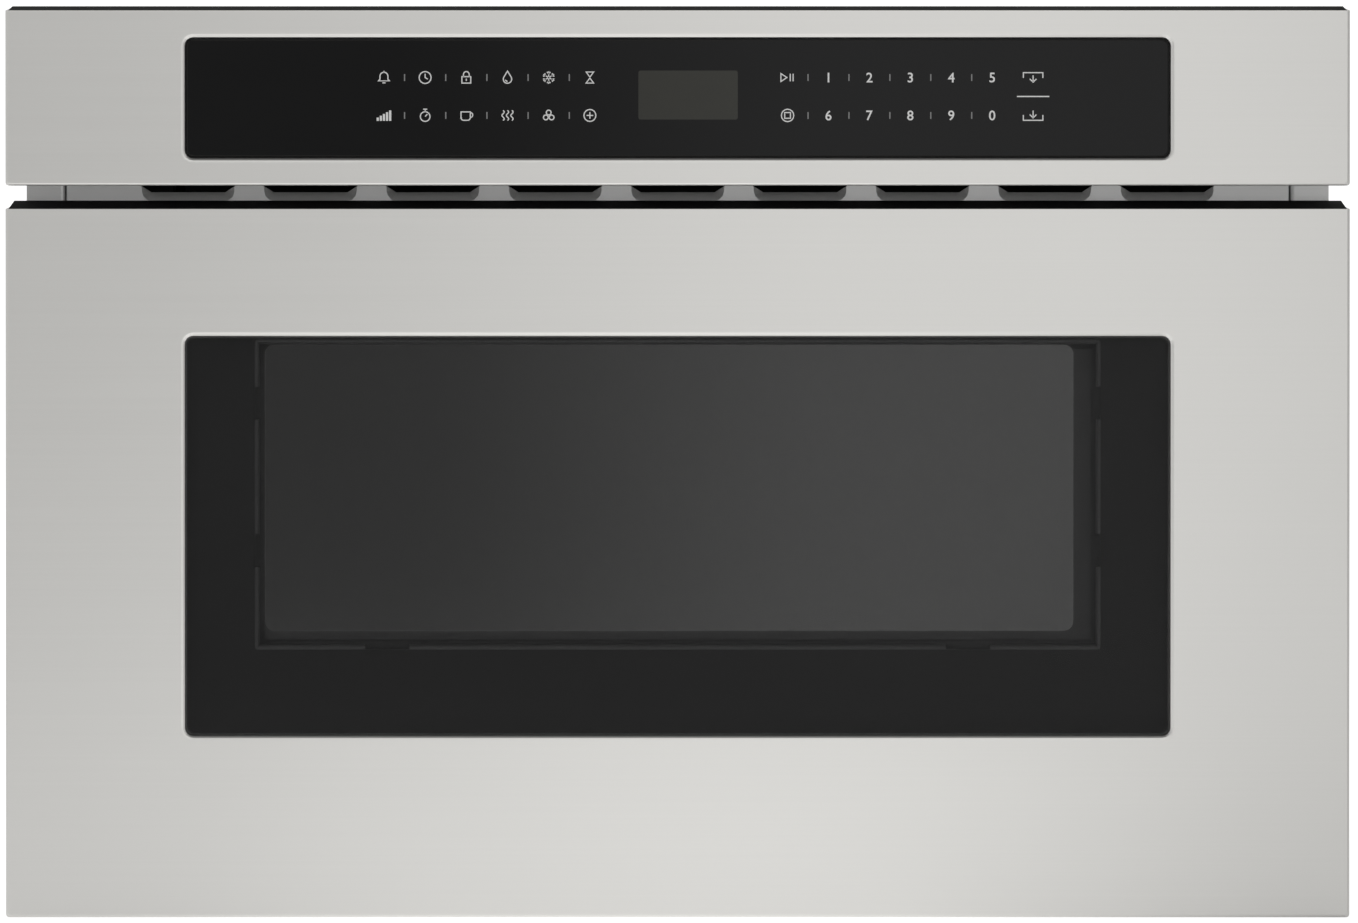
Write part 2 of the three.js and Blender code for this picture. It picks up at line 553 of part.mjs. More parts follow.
function makeChassis() {
  const panelZ = [floorZ, ceilingZ];
  const plateX = chassisX - FIT;
  const innerX = sideInnerX - FIT;

  const baseRim = 12;
  const highSlotZ = [ceilingZ - 2.5 * SLOT_LENGTH, ceilingZ - SLOT_LENGTH];
  const baseEdges = [
    block([-innerX, innerX], [rearY - SHEET - FIT - SHEET, rearY - SHEET - FIT], [0, baseRim]),
    block([-innerX, innerX], [frontY + FIT, frontY + FIT + SHEET], [0, baseRim]),
  ];
  const slotY = [rearY - SLOT_INSET - SLOT_LENGTH, rearY - SLOT_INSET];
  const slotRow = (count, pitch, make) =>
    repeat(count, (index) => make(around(centred(index, count, pitch), SLOT)));
  const baseSlots = slotRow(8, 2 * SLOT, (x) => block(x, slotY, [-1, SHEET + 1]));
  place('base_pan', cut(join(
    block([-chassisX, chassisX], [frontY + FIT, rearY], [0, SHEET]), ...baseEdges,
  ), ...baseSlots), GALVANISED);

  const sideSlots = slotRow(6, 2 * SLOT, ([low, high]) => block([innerX - 2, chassisX + 1],
    [rearY - 2 * SLOT_INSET + low, rearY - 2 * SLOT_INSET + high], highSlotZ));
  const side = cut(join(
    block([sideInnerX, chassisX], [frontY + FIT, rearY], panelZ),
    block([chassisX - 14, chassisX], [frontY + 20, rearY - 20], [ceilingZ - SHEET, ceilingZ]),
  ), ...sideSlots);
  place('side_panel_left', mirrored(side), GALVANISED);
  place('side_panel_right', side, GALVANISED);

  const rearSheet = [rearY - SHEET, rearY];
  const inletSlots = repeat(9, (index) => {
    const lift = centred(index, 9, 11);
    const half = Math.sqrt((FAN_RADIUS - 2) ** 2 - lift ** 2);
    return block([fanX - half, fanX + half], grown(rearSheet, 1), around(FAN_Z + lift, 5.5));
  });
  const outletZ = [ceilingZ - SLOT_LENGTH - 3 * SLOT, ceilingZ - 3 * SLOT];
  const outletSlots = slotRow(14, 14, (x) => block(x, grown(rearSheet, 1), outletZ));
  const gland = [GLAND_INSET - chassisX, chassisTopZ - GLAND_DROP];
  const cordHole = rod('y', gland, GLAND_RADIUS, rearSheet[0] - 1, rearSheet[1] + 1, 20);
  place('rear_panel', cut(block([-innerX, innerX], rearSheet, panelZ),
    ...inletSlots, ...outletSlots, cordHole), GALVANISED);
  place('cord_gland', join(
    tube('y', gland, GLAND_RADIUS - FIT, GLAND_BORE, rearSheet[0] - 8, rearSheet[1] + 4, 20),
    tube('y', gland, GLAND_RADIUS + 4, GLAND_BORE, rearSheet[1] + FIT, rearSheet[1] + 4, 20),
    tube('y', gland, GLAND_RADIUS + 3, GLAND_BORE, rearSheet[0] - 4, rearSheet[0] - FIT, 20),
  ), BLACK_PLASTIC);

  const coverSlots = slotRow(12, 4 * SLOT, (x) => block(x, slotY, [ceilingZ - 1, chassisTopZ + 1]));
  place('top_cover', cut(block([-chassisX, chassisX], [frontY + FIT, rearY],
    [chassisTopZ - SHEET, chassisTopZ]), ...coverSlots), GALVANISED);

  // Front plate: cavity mouth, two slots for the drawer's arms and slides, one striker hole
  const plateSpan = [plateY - 1, frontY + 1];
  const mouth = prism('y', roundedRectangle(
    [-cavityX, cavityX], [CAVITY_FLOOR, cavityTopZ], 2 * PLATE, 2), ...plateSpan);
  const slotLowZ = ARM_LOW - SLOT;
  const armSlot = block([armX - ARM, railX + RAIL_WIDTH - 1], plateSpan, [slotLowZ, railTopZ + SLOT]);
  const rackSlot = block(grown(rackX, ARM), plateSpan, [slotLowZ, ARM_LOW + 2 * RACK_BACK]);
  const strikerHole = rod('y', [strikerX, STRIKER_Z], STRIKER_RADIUS + STRIKER_HOLE, ...plateSpan, 12);
  place('front_plate', cut(
    block([-plateX, plateX], [plateY, frontY], [floorZ, grilleLowZ - FIT]),
    mouth, armSlot, mirrored(armSlot), rackSlot, strikerHole,
  ), LOUVRED_STEEL);

  // Cabinet flange: its sheet folds back along the chassis side
  const flangeX = chassisX + FIT;
  const flangeEdgeX = flangeX + FLANGE_WIDTH;
  const returnY = frontY + FLANGE_RETURN;
  const foldCentre = [flangeX + FOLD_RADIUS, plateY + FOLD_RADIUS];
  const profile = [
    ...quarterArc(foldCentre, FOLD_RADIUS, 2, 4), new Vector2(flangeEdgeX, plateY),
    new Vector2(flangeEdgeX, frontY), ...quarterArc(foldCentre, FOLD_RADIUS - PLATE, 2, 2).reverse(),
    new Vector2(flangeX + PLATE, returnY), new Vector2(flangeX, returnY),
  ];
  const screwHoles = FLANGE_SCREWS.map((share) => rod('y',
    [(flangeX + PLATE + flangeEdgeX) / 2, chassisTopZ * share], FLANGE_SCREW_RADIUS, ...plateSpan, 12));
  const flange = cut(prism('z', profile, 0, chassisTopZ), ...screwHoles);
  place('flange_left', mirrored(flange), LOUVRED_STEEL);
  place('flange_right', flange, LOUVRED_STEEL);
}

// Upper front sheet with scooped louvres: each is a slot above a lip that leans back into the oven.
function makeVentGrille() {
  const plateX = chassisX - FIT;
  const sheet = block([-plateX, plateX], [plateY, frontY], [grilleLowZ, ceilingZ]);
  const cableHole = rod('y', [0, ceilingZ - 2 * CABLE_HOLE], CABLE_HOLE, plateY - 1, frontY + 1, 16);
  // A ring of a scoop, whose two lower corners are rounded by the given width and height
  const ring = (x, y, half, [lowZ, highZ], width, height) => {
    const corner = quarterArc([0, 0], 1, 0, 3).map(({ x: across, y: down }) =>
      [half - width * (1 - across), lowZ + height * (1 - down)]);
    const right = [...corner].reverse();
    return [...corner.map(([dx, z]) => [-dx, z]), ...right, [half, highZ], [-half, highZ]]
      .map(([dx, z]) => new Vector3(x + dx, y, z));
  };
  // Outside and inside of one scoop: it is deepest at the slot
  const half = louvreWidth / 2;
  const deep = half - LOUVRE_FLARE;
  const scoop = (thicken) => (x) => loft([
    ring(x, thicken ? plateY : plateY - 1, half + thicken, [lipLowZ - thicken, slotHighZ],
      LOUVRE_FLARE, LOUVRE_LIP),
    ring(x, plateY + LOUVRE_DEPTH + thicken, deep + thicken, [lipHighZ - thicken, slotHighZ],
      PLATE, PLATE),
  ]);
  // The sheared slot above the lip: its ends slant up to the scoop's corners
  const slot = (x) => prism('y', [
    new Vector2(x - deep, lipHighZ - FIT), new Vector2(x + deep, lipHighZ - FIT),
    new Vector2(x + half, slotHighZ), new Vector2(x - half, slotHighZ),
  ], plateY - 1, plateY + 3 * LOUVRE_DEPTH);
  const places = repeat(LOUVRES, (index) => centred(index, LOUVRES, louvrePitch));
  place('vent_grille', cut(
    join(sheet, ...places.map(scoop(PLATE))), ...places.map(scoop(0)), ...places.map(slot), cableHole,
  ), LOUVRED_STEEL);
}

// ---- Oven cavity and the parts around it ----------------------------------------------------

function makeCavity() {
  const well = [0, wellY];
  const [columns, rows] = VENT_HOLES;
  const holes = repeat(rows, (row) => repeat(columns, (column) => rod('y',
    [VENT_HOLES_X + column * VENT_HOLE_PITCH, VENT_HOLES_Z + row * VENT_HOLE_PITCH],
    VENT_HOLE_RADIUS, cavityRearY - 1, cavityRearY + SHEET + 1, 6))).flat();
  const [lampHoleDepth, lampHoleHeight] = LAMP_HOLE;
  const lampHole = block([cavityX - 1, cavityX + SHEET + 1],
    around(lampY, lampHoleDepth), around(LAMP_Z, lampHoleHeight));
  const shell = cut(
    block(grown([-cavityX, cavityX], SHEET), [cavityFrontY, cavityRearY + SHEET],
      [CAVITY_FLOOR - SHEET, cavityTopZ + SHEET]),
    block([-cavityX, cavityX], [cavityFrontY - 1, cavityRearY], [CAVITY_FLOOR, cavityTopZ]),
    rod('z', well, WELL_RADIUS, CAVITY_FLOOR - 2 * SHEET, CAVITY_FLOOR + 1, 32),
    lampHole, ...holes,
  );
  const cup = cut(
    rod('z', well, WELL_RADIUS + SHEET, wellLowZ, CAVITY_FLOOR - SHEET / 2, 32),
    rod('z', well, WELL_RADIUS, wellLowZ + SHEET, CAVITY_FLOOR + 1, 32),
    rod('z', well, WAVEGUIDE_PORT, wellLowZ - 1, CAVITY_FLOOR, 20),
  );
  place('oven_cavity', join(shell, cup), ENAMEL);
  const coverLowZ = CAVITY_FLOOR + FIT;
  place('stirrer_cover', rod('z', well, WELL_RADIUS + STIRRER_COVER_OVERLAP,
    coverLowZ, coverLowZ + STIRRER_COVER, 32), CERAMIC);

  // Waveguide: a flat box tube under the cavity, open to the well and to the magnetron
  const guideX = GUIDE_WIDTH / 2;
  const guideY = [wellY - GUIDE_REACH, magnetronY + GUIDE_TAIL];
  place('waveguide', cut(
    block([-guideX, guideX], guideY, [guideLowZ, guideTopZ]),
    block(grown([-guideX, guideX], -SHEET), grown(guideY, -SHEET), [guideLowZ + SHEET, guideTopZ - SHEET]),
    rod('z', well, WAVEGUIDE_PORT, guideTopZ - 2 * SHEET, guideTopZ + 1, 20),
    rod('z', well, STIRRER_SHAFT + 1, guideLowZ - 1, guideLowZ + 2 * SHEET, 12),
    rod('z', [0, magnetronY], MAGNETRON_ANTENNA + 4, guideTopZ - 2 * SHEET, guideTopZ + 1, 20),
  ), GALVANISED);

  // Stirrer: a shaft with four bent blades, and its motor under the waveguide
  const motorTopZ = guideLowZ - FIT;
  const bladeZ = (wellLowZ + CAVITY_FLOOR) / 2;
  const blades = repeat(4, (index) => {
    const turn = index * Math.PI / 2;
    const along = (radius, across, z) => new Vector3(
      radius * Math.cos(turn) - across * Math.sin(turn),
      wellY + radius * Math.sin(turn) + across * Math.cos(turn), z);
    const section = (radius, width, pitch) => [[-1, -0.6], [1, -0.6], [1, 0.6], [-1, 0.6]].map(
      ([side, lift]) => along(radius, side * width / 2, bladeZ + lift + side * pitch));
    const sections = [section(4, 14, 0), section(22, 22, 0), section(STIRRER_RADIUS, 46, 5)];
    return loft(sections.map((ring) => ring.reverse()));
  });
  place('stirrer', join(
    rod('z', well, STIRRER_SHAFT, motorTopZ - 6, bladeZ + 3, 12),
    rod('z', well, 9, bladeZ - 3, bladeZ + 3, 12), ...blades,
  ), GREASED_STEEL);
  const [earSpan, earWidth] = STIRRER_MOTOR_EARS;
  place('stirrer_motor', cut(join(
    rod('z', well, STIRRER_MOTOR_RADIUS, motorTopZ - STIRRER_MOTOR_HEIGHT, motorTopZ, 24),
    block(around(0, earSpan), around(wellY, earWidth), [motorTopZ - PLATE, motorTopZ]),
  ), rod('z', well, STIRRER_SHAFT + BEARING_PLAY, motorTopZ - 8, motorTopZ + 1, 12)), GALVANISED);

  // Lamp on the cavity's right wall
  const lampX = cavityX + SHEET + FIT;
  place('oven_lamp', join(
    block([lampX, lampX + 2], around(lampY, 4 * LAMP_RADIUS), around(LAMP_Z, 3 * LAMP_RADIUS)),
    rod('x', [lampY, LAMP_Z], LAMP_RADIUS, lampX, lampX + LAMP_LENGTH, 16),
  ), ACETAL);
}

function makeDuctAndBoards() {
  const ductLowZ = cavityTopZ + SHEET + FIT;
  const ductX = cavityX - 3;
  const ductY = [frontY + 2 * LOUVRE_DEPTH + 2, cavityRearY - 22];
  place('exhaust_duct', cut(
    block([-ductX, ductX], ductY, [ductLowZ, ductTopZ]),
    block(grown([-ductX, ductX], -SHEET), grown(ductY, 1), [ductLowZ + SHEET, ductTopZ - SHEET]),
  ), GALVANISED);

  // Power board on the duct: its parts are places, sizes and heights as shares of the board and the room
  const boardX = [-POWER_BOARD_LENGTH / 2, POWER_BOARD_LENGTH / 2];
  const boardFrontY = frontY + POWER_BOARD_SETBACK;
  const boardY = [boardFrontY, boardFrontY + POWER_BOARD_DEPTH];
  const boardZ = ductTopZ + POWER_BOARD_STANDOFF;
  const room = ceilingZ - boardZ;
  const feet = grown(boardX, -6).flatMap((x) => grown(boardY, -6).map((y) =>
    rod('z', [x, y], 3, ductTopZ + FIT, boardZ + BOARD / 3, 8)));
  const parts = [[0.14, 0.23, 0.16, 0.52], [0.36, 0.62, 0.11, 0.4], [0.68, 0.31, 0.23, 0.44],
    [0.85, 0.69, 0.12, 0.6]].map(([shareX, shareY, width, height]) => block(
    around(boardX[0] + shareX * POWER_BOARD_LENGTH, width * POWER_BOARD_LENGTH),
    around(boardY[0] + shareY * POWER_BOARD_DEPTH, width * POWER_BOARD_DEPTH),
    [boardZ + BOARD / 2, boardZ + height * room]));
  place('power_board', join(block(boardX, boardY, [boardZ, boardZ + BOARD]), ...feet, ...parts), BOARD_GREEN);
}

// ---- Microwave generator --------------------------------------------------------------------

function makeGenerator() {
  const seatZ = guideTopZ + FIT;
  const x = MAGNETRON_WIDTH / 2;
  const y = around(magnetronY, MAGNETRON_DEPTH);
  const axis = [0, magnetronY];
  const yoke = 3;
  const yokeTop = seatZ + MAGNETRON_HEIGHT;
  const finPitch = MAGNETRON_HEIGHT / 10.5;
  const fins = repeat(6, (index) => block(
    around(0, 2 * (x - yoke) + 1), around(magnetronY, 0.74 * MAGNETRON_DEPTH),
    around((seatZ + yokeTop) / 2 + centred(index, 6, finPitch), 1)));
  place('magnetron', join(
    block([-x, x], y, [seatZ, seatZ + yoke]),
    block([-x, x], y, [yokeTop - yoke, yokeTop]),
    block([-x, -x + yoke], y, [seatZ, yokeTop]),
    block([x - yoke, x], y, [seatZ, yokeTop]),
    rod('z', axis, MAGNETRON_WIDTH / 4.6, seatZ, yokeTop, 20),
    rod('z', axis, MAGNETRON_ANTENNA, seatZ - GUIDE_HEIGHT / 2, seatZ + 1, 16),
    block(around(0, 0.45 * MAGNETRON_WIDTH), around(magnetronY, 0.66 * MAGNETRON_DEPTH),
      [yokeTop - 1, yokeTop + 0.3 * MAGNETRON_HEIGHT]), ...fins,
  ), GALVANISED);

  // Transformer: stacked iron with two windings round its middle leg, on a foot plate
  const rowWidth = TRANSFORMER_WIDTH + CAPACITOR_SPACE + CAPACITOR_WIDTH;
  const rowX = -(chassisX + GUIDE_WIDTH / 2 + rowWidth) / 2;
  const coreX = [rowX, rowX + TRANSFORMER_WIDTH];
  const middleX = (coreX[0] + coreX[1]) / 2;
  const coreY = [rearY - REAR_SPACE - TRANSFORMER_DEPTH, rearY - REAR_SPACE];
  const coreZ = [floorZ, floorZ + TRANSFORMER_HEIGHT];
  const coilZ = grown(coreZ, -TRANSFORMER_LEG);
  const foot = block(grown(coreX, TRANSFORMER_FOOT), coreY, [coreZ[0], coreZ[0] + 2]);
  const windowStep = (TRANSFORMER_LEG + TRANSFORMER_WINDOW) / 2;
  const windows = [-1, 1].map((side) => block(
    around(middleX + side * windowStep, TRANSFORMER_WINDOW), grown(coreY, 1), coilZ));
  place('transformer_core', cut(join(block(coreX, coreY, coreZ), foot), ...windows), IRON);
  const legX = around(middleX, TRANSFORMER_LEG);
  const build = TRANSFORMER_WINDOW / 2 - FIT;            // how thick the wire lies on the leg
  const sleeve = (thickness, z) => block(grown(legX, thickness), grown(coreY, thickness), z);
  const bareZ = around((coilZ[0] + coilZ[1]) / 2, 6);    // the bobbin shows between the two windings
  place('transformer_windings', cut(
    sleeve(build, grown(coilZ, -2 * FIT)),
    sleeve(FIT, coreZ),
    cut(sleeve(build + 1, bareZ), sleeve(2, coreZ)),
  ), COPPER);

  const canX = [rowX + rowWidth - CAPACITOR_WIDTH, rowX + rowWidth];
  const canY = around((coreY[0] + coreY[1]) / 2, CAPACITOR_DEPTH);
  const can = (growth) => roundedRectangle(
    grown(canX, growth), grown(canY, growth), CAPACITOR_WIDTH / 2 - 2 + growth, 5);
  place('hv_capacitor', join(
    prism('z', can(0), floorZ, floorZ + CAPACITOR_HEIGHT),
    prism('z', can(1.5), ...around(floorZ + CAPACITOR_HEIGHT * 0.43, 12)),
    ...grown(canY, -CAPACITOR_DEPTH / 4).map((terminal) => block(around((canX[0] + canX[1]) / 2, 6),
      around(terminal, 1.2), [floorZ + CAPACITOR_HEIGHT - 1, floorZ + CAPACITOR_HEIGHT + 10])),
  ), GALVANISED);
}

// ---- Cooling fan ----------------------------------------------------------------------------

function makeFan() {
  const centre = [fanX, FAN_Z];
  const frameRear = rearY - SHEET - FIT;
  const frameFront = frameRear - FAN_DEPTH;
  const ring = FAN_RADIUS + 2.5;
  const square = (half) => [around(fanX, 2 * half), around(FAN_Z, 2 * half)];
  const mouth = circle(centre, ring, 28);
  const plate = prism('y', roundedRectangle(...square(FAN_FRAME / 2), 6, 3),
    frameRear - 3, frameRear, [mouth]);
  const barrel = tube('y', centre, ring + 2, ring, frameFront, frameRear, 28);
  const armAcross = join(
    block(around(fanX, 2 * ring + 2), [frameFront, frameFront + 3], around(FAN_Z, 6)),
    block(around(fanX, 6), [frameFront, frameFront + 3], around(FAN_Z, 2 * ring + 2)),
    rod('y', centre, 20, frameFront, frameFront + 3, 20),
  );
  const shaftHole = rod('y', centre, 4, frameFront - 1, frameFront + 4, 12);
  place('fan_shroud', join(plate, barrel, cut(armAcross, shaftHole)), BLACK_PLASTIC);

  const motorRear = frameFront - FIT;
  const motorFront = motorRear - FAN_MOTOR_LENGTH;
  const [coilWidth, coilDepth, coilHeight] = FAN_COIL;
  place('fan_motor', cut(join(
    rod('y', centre, FAN_MOTOR_RADIUS, motorFront + 4, motorRear, 20),
    block(around(fanX, coilWidth), around((motorFront + motorRear) / 2, coilDepth),
      around(FAN_Z + FAN_COIL_LIFT, coilHeight)),
    rod('y', centre, 6, motorFront, motorRear, 12),
  ), rod('y', centre, FAN_SHAFT + BEARING_PLAY, motorFront + 10, motorRear + 1, 12)), IRON);

  const hub = [frameFront + 6, frameRear - 6];
  const blades = repeat(FAN_BLADES, (index) => {
    const turn = 2 * Math.PI * index / FAN_BLADES;
    const out = new Vector3(Math.cos(turn), 0, Math.sin(turn));
    const across = new Vector3(-Math.sin(turn), 0, Math.cos(turn));
    const middle = (hub[0] + hub[1]) / 2;
    const section = (radius, chord, degrees) => {
      const pitch = THREE.MathUtils.degToRad(degrees);
      const along = across.clone().multiplyScalar(Math.cos(pitch)).addScaledVector(AXIS_Y, Math.sin(pitch));
      const normal = out.clone().cross(along);
      return [[-1, -0.7], [1, -0.7], [1, 0.7], [-1, 0.7]].map(([side, lift]) =>
        new Vector3(fanX, middle, FAN_Z).addScaledVector(out, radius)
          .addScaledVector(along, side * chord / 2).addScaledVector(normal, lift)).reverse();
    };
    return loft([section(12, 18, 48), section(30, 27, 36), section(FAN_RADIUS - 2, 34, 26)]);
  });
  place('fan_blades', join(
    rod('y', centre, 16, ...hub, 20), rod('y', centre, FAN_SHAFT, motorFront + 12, hub[1], 12), ...blades,
  ), BLACK_PLASTIC);
}

// ---- Drawer front and box -------------------------------------------------------------------

function makeDrawerFront() {
  const skinZ = [drawerLowZ, drawerTopZ];
  place('drawer_skin', foldOpening(foldedSkin(skinZ), windowZ, WINDOW_GLASS), STAINLESS);
  place('drawer_top_cap', topCap(drawerTopZ, drawerRearY - faceY, DRAWER_CAP_RISE), BLACK_PLASTIC);
  place('window_glass', pane(windowZ, WINDOW_GLASS), BLACK_GLASS);

  // Frame behind the glass: its lip bends back inside the opening, and is left out at the notches
  const frameY = faceY + GLASS_SET + WINDOW_GLASS + FIT;
  const lipRearY = frameY + SHEET + FRAME_LIP;
  const viewAt = (growth) => rectangle(grown([-viewX, viewX], growth), grown(viewZ, growth));
  const sheet = prism('y', rectangle(grown([-glassX, glassX], SLOT), grown(windowZ, SLOT)),
    frameY, frameY + SHEET);
  const lip = prism('y', viewAt(SHEET - LIP_BEND), frameY + SHEET / 2, lipRearY);
  const bend = quarterRound(LIP_BEND, 3).map(
    ({ inset, depth }) => ringAt(viewAt(inset - LIP_BEND), frameY + depth));
  const opening = loft([ringAt(viewAt(0), frameY - 1), ...bend, ringAt(viewAt(-LIP_BEND), lipRearY + 1)]);
  const through = [frameY - 1, lipRearY + 1];
  const sideNotches = SIDE_NOTCHES.map((lift) => block(
    grown([-viewX, viewX], FIT), through, around(viewZ[0] + lift, NOTCH)));
  const lowNotches = [-1, 1].map((side) => block(
    around(side * LOWER_NOTCH_X, LOWER_NOTCH), through, [viewZ[0] - FIT, viewZ[0] + 2 * LIP_BEND]));
  place('window_frame', cut(join(sheet, lip), opening, ...sideNotches, ...lowNotches), SMOKED_METAL);

  // Screen over the view, its middle dished towards the glass
  const screenRear = webY - FIT;
  const dishRear = screenRear - SCREEN_DISH;
  const step = -SCREEN_STEP;
  place('window_screen', cut(join(
    prism('y', viewAt(SCREEN_MARGIN), screenRear - SHEET, screenRear),
    prism('y', viewAt(step), dishRear - SHEET, dishRear),
  ), prism('y', viewAt(step - SHEET), dishRear, screenRear + 1)), SMOKED_METAL);

  // Door frame: a web across the skin, with a choke channel that faces the front plate
  const webX = faceX - SKIN - FIT - RETURN_DRAFT * (WEB_DEPTH + SHEET) / RETURN_DEPTH;
  const web = prism('y', rectangle([-webX, webX], [drawerLowZ + SKIN + FIT, drawerTopZ - TOP_CAP - FIT]),
    webY, webRearY, [viewAt(0)]);
  const chokeInner = [
    grown([-cavityX, cavityX], CHOKE_OFFSET), grown([CAVITY_FLOOR, cavityTopZ], CHOKE_OFFSET)];
  const chokeOuter = [grown(chokeInner[0], CHOKE_WIDTH),
    [chokeInner[1][0] - CHOKE_WIDTH, drawerTopZ - TOP_CAP - FIT - SHEET]];
  const resized = ([x, z], by) => rectangle(grown(x, by), grown(z, by));
  const wall = (outside, inside) => prism('y', outside, webRearY - 0.2, drawerRearY, [inside]);
  place('door_frame', join(web,
    wall(resized(chokeInner, 0), resized(chokeInner, -SHEET)),
    wall(resized(chokeOuter, SHEET), resized(chokeOuter, 0)),
  ), ENAMEL);
  place('choke_cover', prism('y', resized(chokeOuter, -FIT), drawerRearY - CHOKE_COVER, drawerRearY,
    [resized(chokeInner, FIT)]), BLACK_PLASTIC);
  place('inner_glass', block(grown([-viewX, viewX], 10), [innerGlassY, innerGlassY + CONTROL_GLASS],
    grown(viewZ, 5)), BLACK_GLASS);

  // Striker: a post that reaches through the front plate to the switch plunger
  const [footWidth, footHeight] = STRIKER_FOOT;
  const footY = webRearY + FIT;
  place('switch_striker', join(
    rod('y', [strikerX, STRIKER_Z], STRIKER_RADIUS, footY, strikerTipY, 12),
    block(around(strikerX + STRIKER_RADIUS + ARM, footWidth), [footY, footY + ARM],
      around(STRIKER_Z, footHeight)),
  ), RED_PLASTIC);
}

function makeDrawerBox() {
  const innerX = boxX - BOX_WALL;
  const innerY = [boxFrontY + BOX_WALL, boxRearY - BOX_WALL];
  const rimZ = boxLowZ + BOX_WALL_HEIGHT;
  const outer = join(
    prism('z', roundedRectangle([-boxX, boxX], [boxFrontY, boxRearY], 6, 3), boxLowZ, rimZ),
    block([-boxX, boxX], [boxFrontY, boxFrontY + 8], [boxLowZ, rimZ]),
  );
  place('drawer_box', cut(outer,
    prism('z', roundedRectangle([-innerX, innerX], innerY, 4, 3), boxLowZ + BOX_FLOOR, rimZ + 1),
    prism('z', roundedRectangle(grown([-innerX, innerX], -BOX_LEDGE), grown(innerY, -BOX_LEDGE), 12, 3),
      boxLowZ - 1, rimZ),
    block([-viewX, viewX], [boxFrontY - 1, boxFrontY + BOX_WALL + 1], [viewZ[0], rimZ + 1]),
  ), ENAMEL);
  place('floor_tray', prism('z',
    roundedRectangle(grown([-innerX, innerX], -TRAY_CLEARANCE), grown(innerY, -TRAY_CLEARANCE), 4, 3),
    boxLowZ + BOX_FLOOR + FIT, boxLowZ + BOX_FLOOR + FIT + TRAY), CERAMIC);
}

// ---- Slides ---------------------------------------------------------------------------------

// A C section in x,z: the web stands at webX, the two lips reach to lipX.
function channel(webX, lipX, [z0, z1], [y0, y1]) {
  const inward = Math.sign(lipX - webX);
  const span = (a, b) => [Math.min(a, b), Math.max(a, b)];
  const hollowX = span(webX + inward * RAIL_SHEET, lipX + inward);
  return cut(
    block(span(webX, lipX), [y0, y1], [z0, z1]),
    block(hollowX, grown([y0, y1], 1), grown([z0, z1], -RAIL_SHEET)),
  );
}

function makeSlides() {
  const race = BALL + 2 * BALL_PLAY;
  const outerZ = [RAIL_LOW, railTopZ];
  const middleZ = grown(outerZ, -RAIL_SHEET - race);
  const innerZ = grown(middleZ, -RAIL_SHEET - race);
  const outerWebX = railX + RAIL_WIDTH;
  const middleWebX = outerWebX - RAIL_SHEET - RAIL_GAP;
  const innerLipX = middleWebX - RAIL_SHEET - RAIL_GAP;
  const outer = channel(outerWebX, railX + 0.7, outerZ, railY);
  const middle = channel(middleWebX, railX + 1.3, middleZ, railY);
  const inner = channel(railX, innerLipX, innerZ, railY);

  // A cage: a C-shaped strip round the section inside it, with a row of balls above and below
  const cage = (sectionZ, gapX) => {
    const middleY = (railY[0] + railY[1]) / 2;
    const lengthY = around(middleY, (BALLS + 0.5) * BALL_PITCH);
    const stripX = [railX + 2.2, gapX + CAGE_SHEET / 2];
    const rowsZ = [sectionZ[0] - race / 2, sectionZ[1] + race / 2];
    const strips = rowsZ.map((z) => block(stripX, lengthY, around(z, CAGE_SHEET)));
    const web = block(around(gapX, CAGE_SHEET), lengthY, rowsZ);
    const balls = rowsZ.flatMap((z) => repeat(BALLS, (index) => {
      const ball = new THREE.IcosahedronGeometry(BALL / 2, 0);
      ball.translate((stripX[0] + stripX[1]) / 2 - 1, middleY + centred(index, BALLS, BALL_PITCH), z);
      return solidFrom(ball);
    }));
    return join(web, ...strips, ...balls);
  };
  const outerCage = cage(middleZ, middleWebX + RAIL_GAP / 2);
  const innerCage = cage(innerZ, innerLipX + RAIL_GAP / 2);

  // Arm: a long plate along the inner rail, with a foot against the door frame
  const footY = webRearY + FIT;
  const arm = join(
    block([armX, armX + ARM], [footY, footY + ARM_LENGTH], [ARM_LOW, railTopZ]),
    block([armX, armX + ARM_FOOT], [footY, footY + ARM], [ARM_LOW, railTopZ]),
  );

  const sides = { left: mirrored, right: (solid) => solid };
  for (const [side, put] of Object.entries(sides)) {
    place(`outer_rail_${side}`, put(outer), GREASED_STEEL);
    place(`middle_rail_${side}`, put(middle), GREASED_STEEL);
    place(`inner_rail_${side}`, put(inner), GREASED_STEEL);
    place(`outer_cage_${side}`, put(outerCage), GREASED_STEEL);
    place(`inner_cage_${side}`, put(innerCage), GREASED_STEEL);
    place(`drawer_arm_${side}`, put(arm), GALVANISED);
  }
}

// ---- Rack drive -----------------------------------------------------------------------------

// An involute spur gear's outline, with a tooth centred at angle phase.
function gearOutline([a, b], teeth, module, phase) {
  const pitch = teeth * module / 2;
  const base = pitch * Math.cos(PRESSURE_ANGLE);
  const involute = (angle) => Math.tan(angle) - angle;
  const halfAt = (radius) => Math.PI / (2 * teeth) - TOOTH_PLAY / pitch + involute(PRESSURE_ANGLE)
    - involute(Math.acos(Math.min(1, base / radius)));
  const root = pitch - 1.25 * module;
  const tip = pitch + module;
  const radii = [root, base, pitch, tip].filter((radius, index) => index !== 1 || radius > root);
  return repeat(teeth, (tooth) => {
    const centre = phase + 2 * Math.PI * tooth / teeth;
    const point = (radius, side) => {
      const angle = centre + side * halfAt(radius);
      return new Vector2(a + radius * Math.cos(angle), b + radius * Math.sin(angle));
    };
    const flank = (side) => radii.map((radius) => point(radius, side));
    return [...flank(-1), ...flank(1).reverse()];
  }).flat();
}

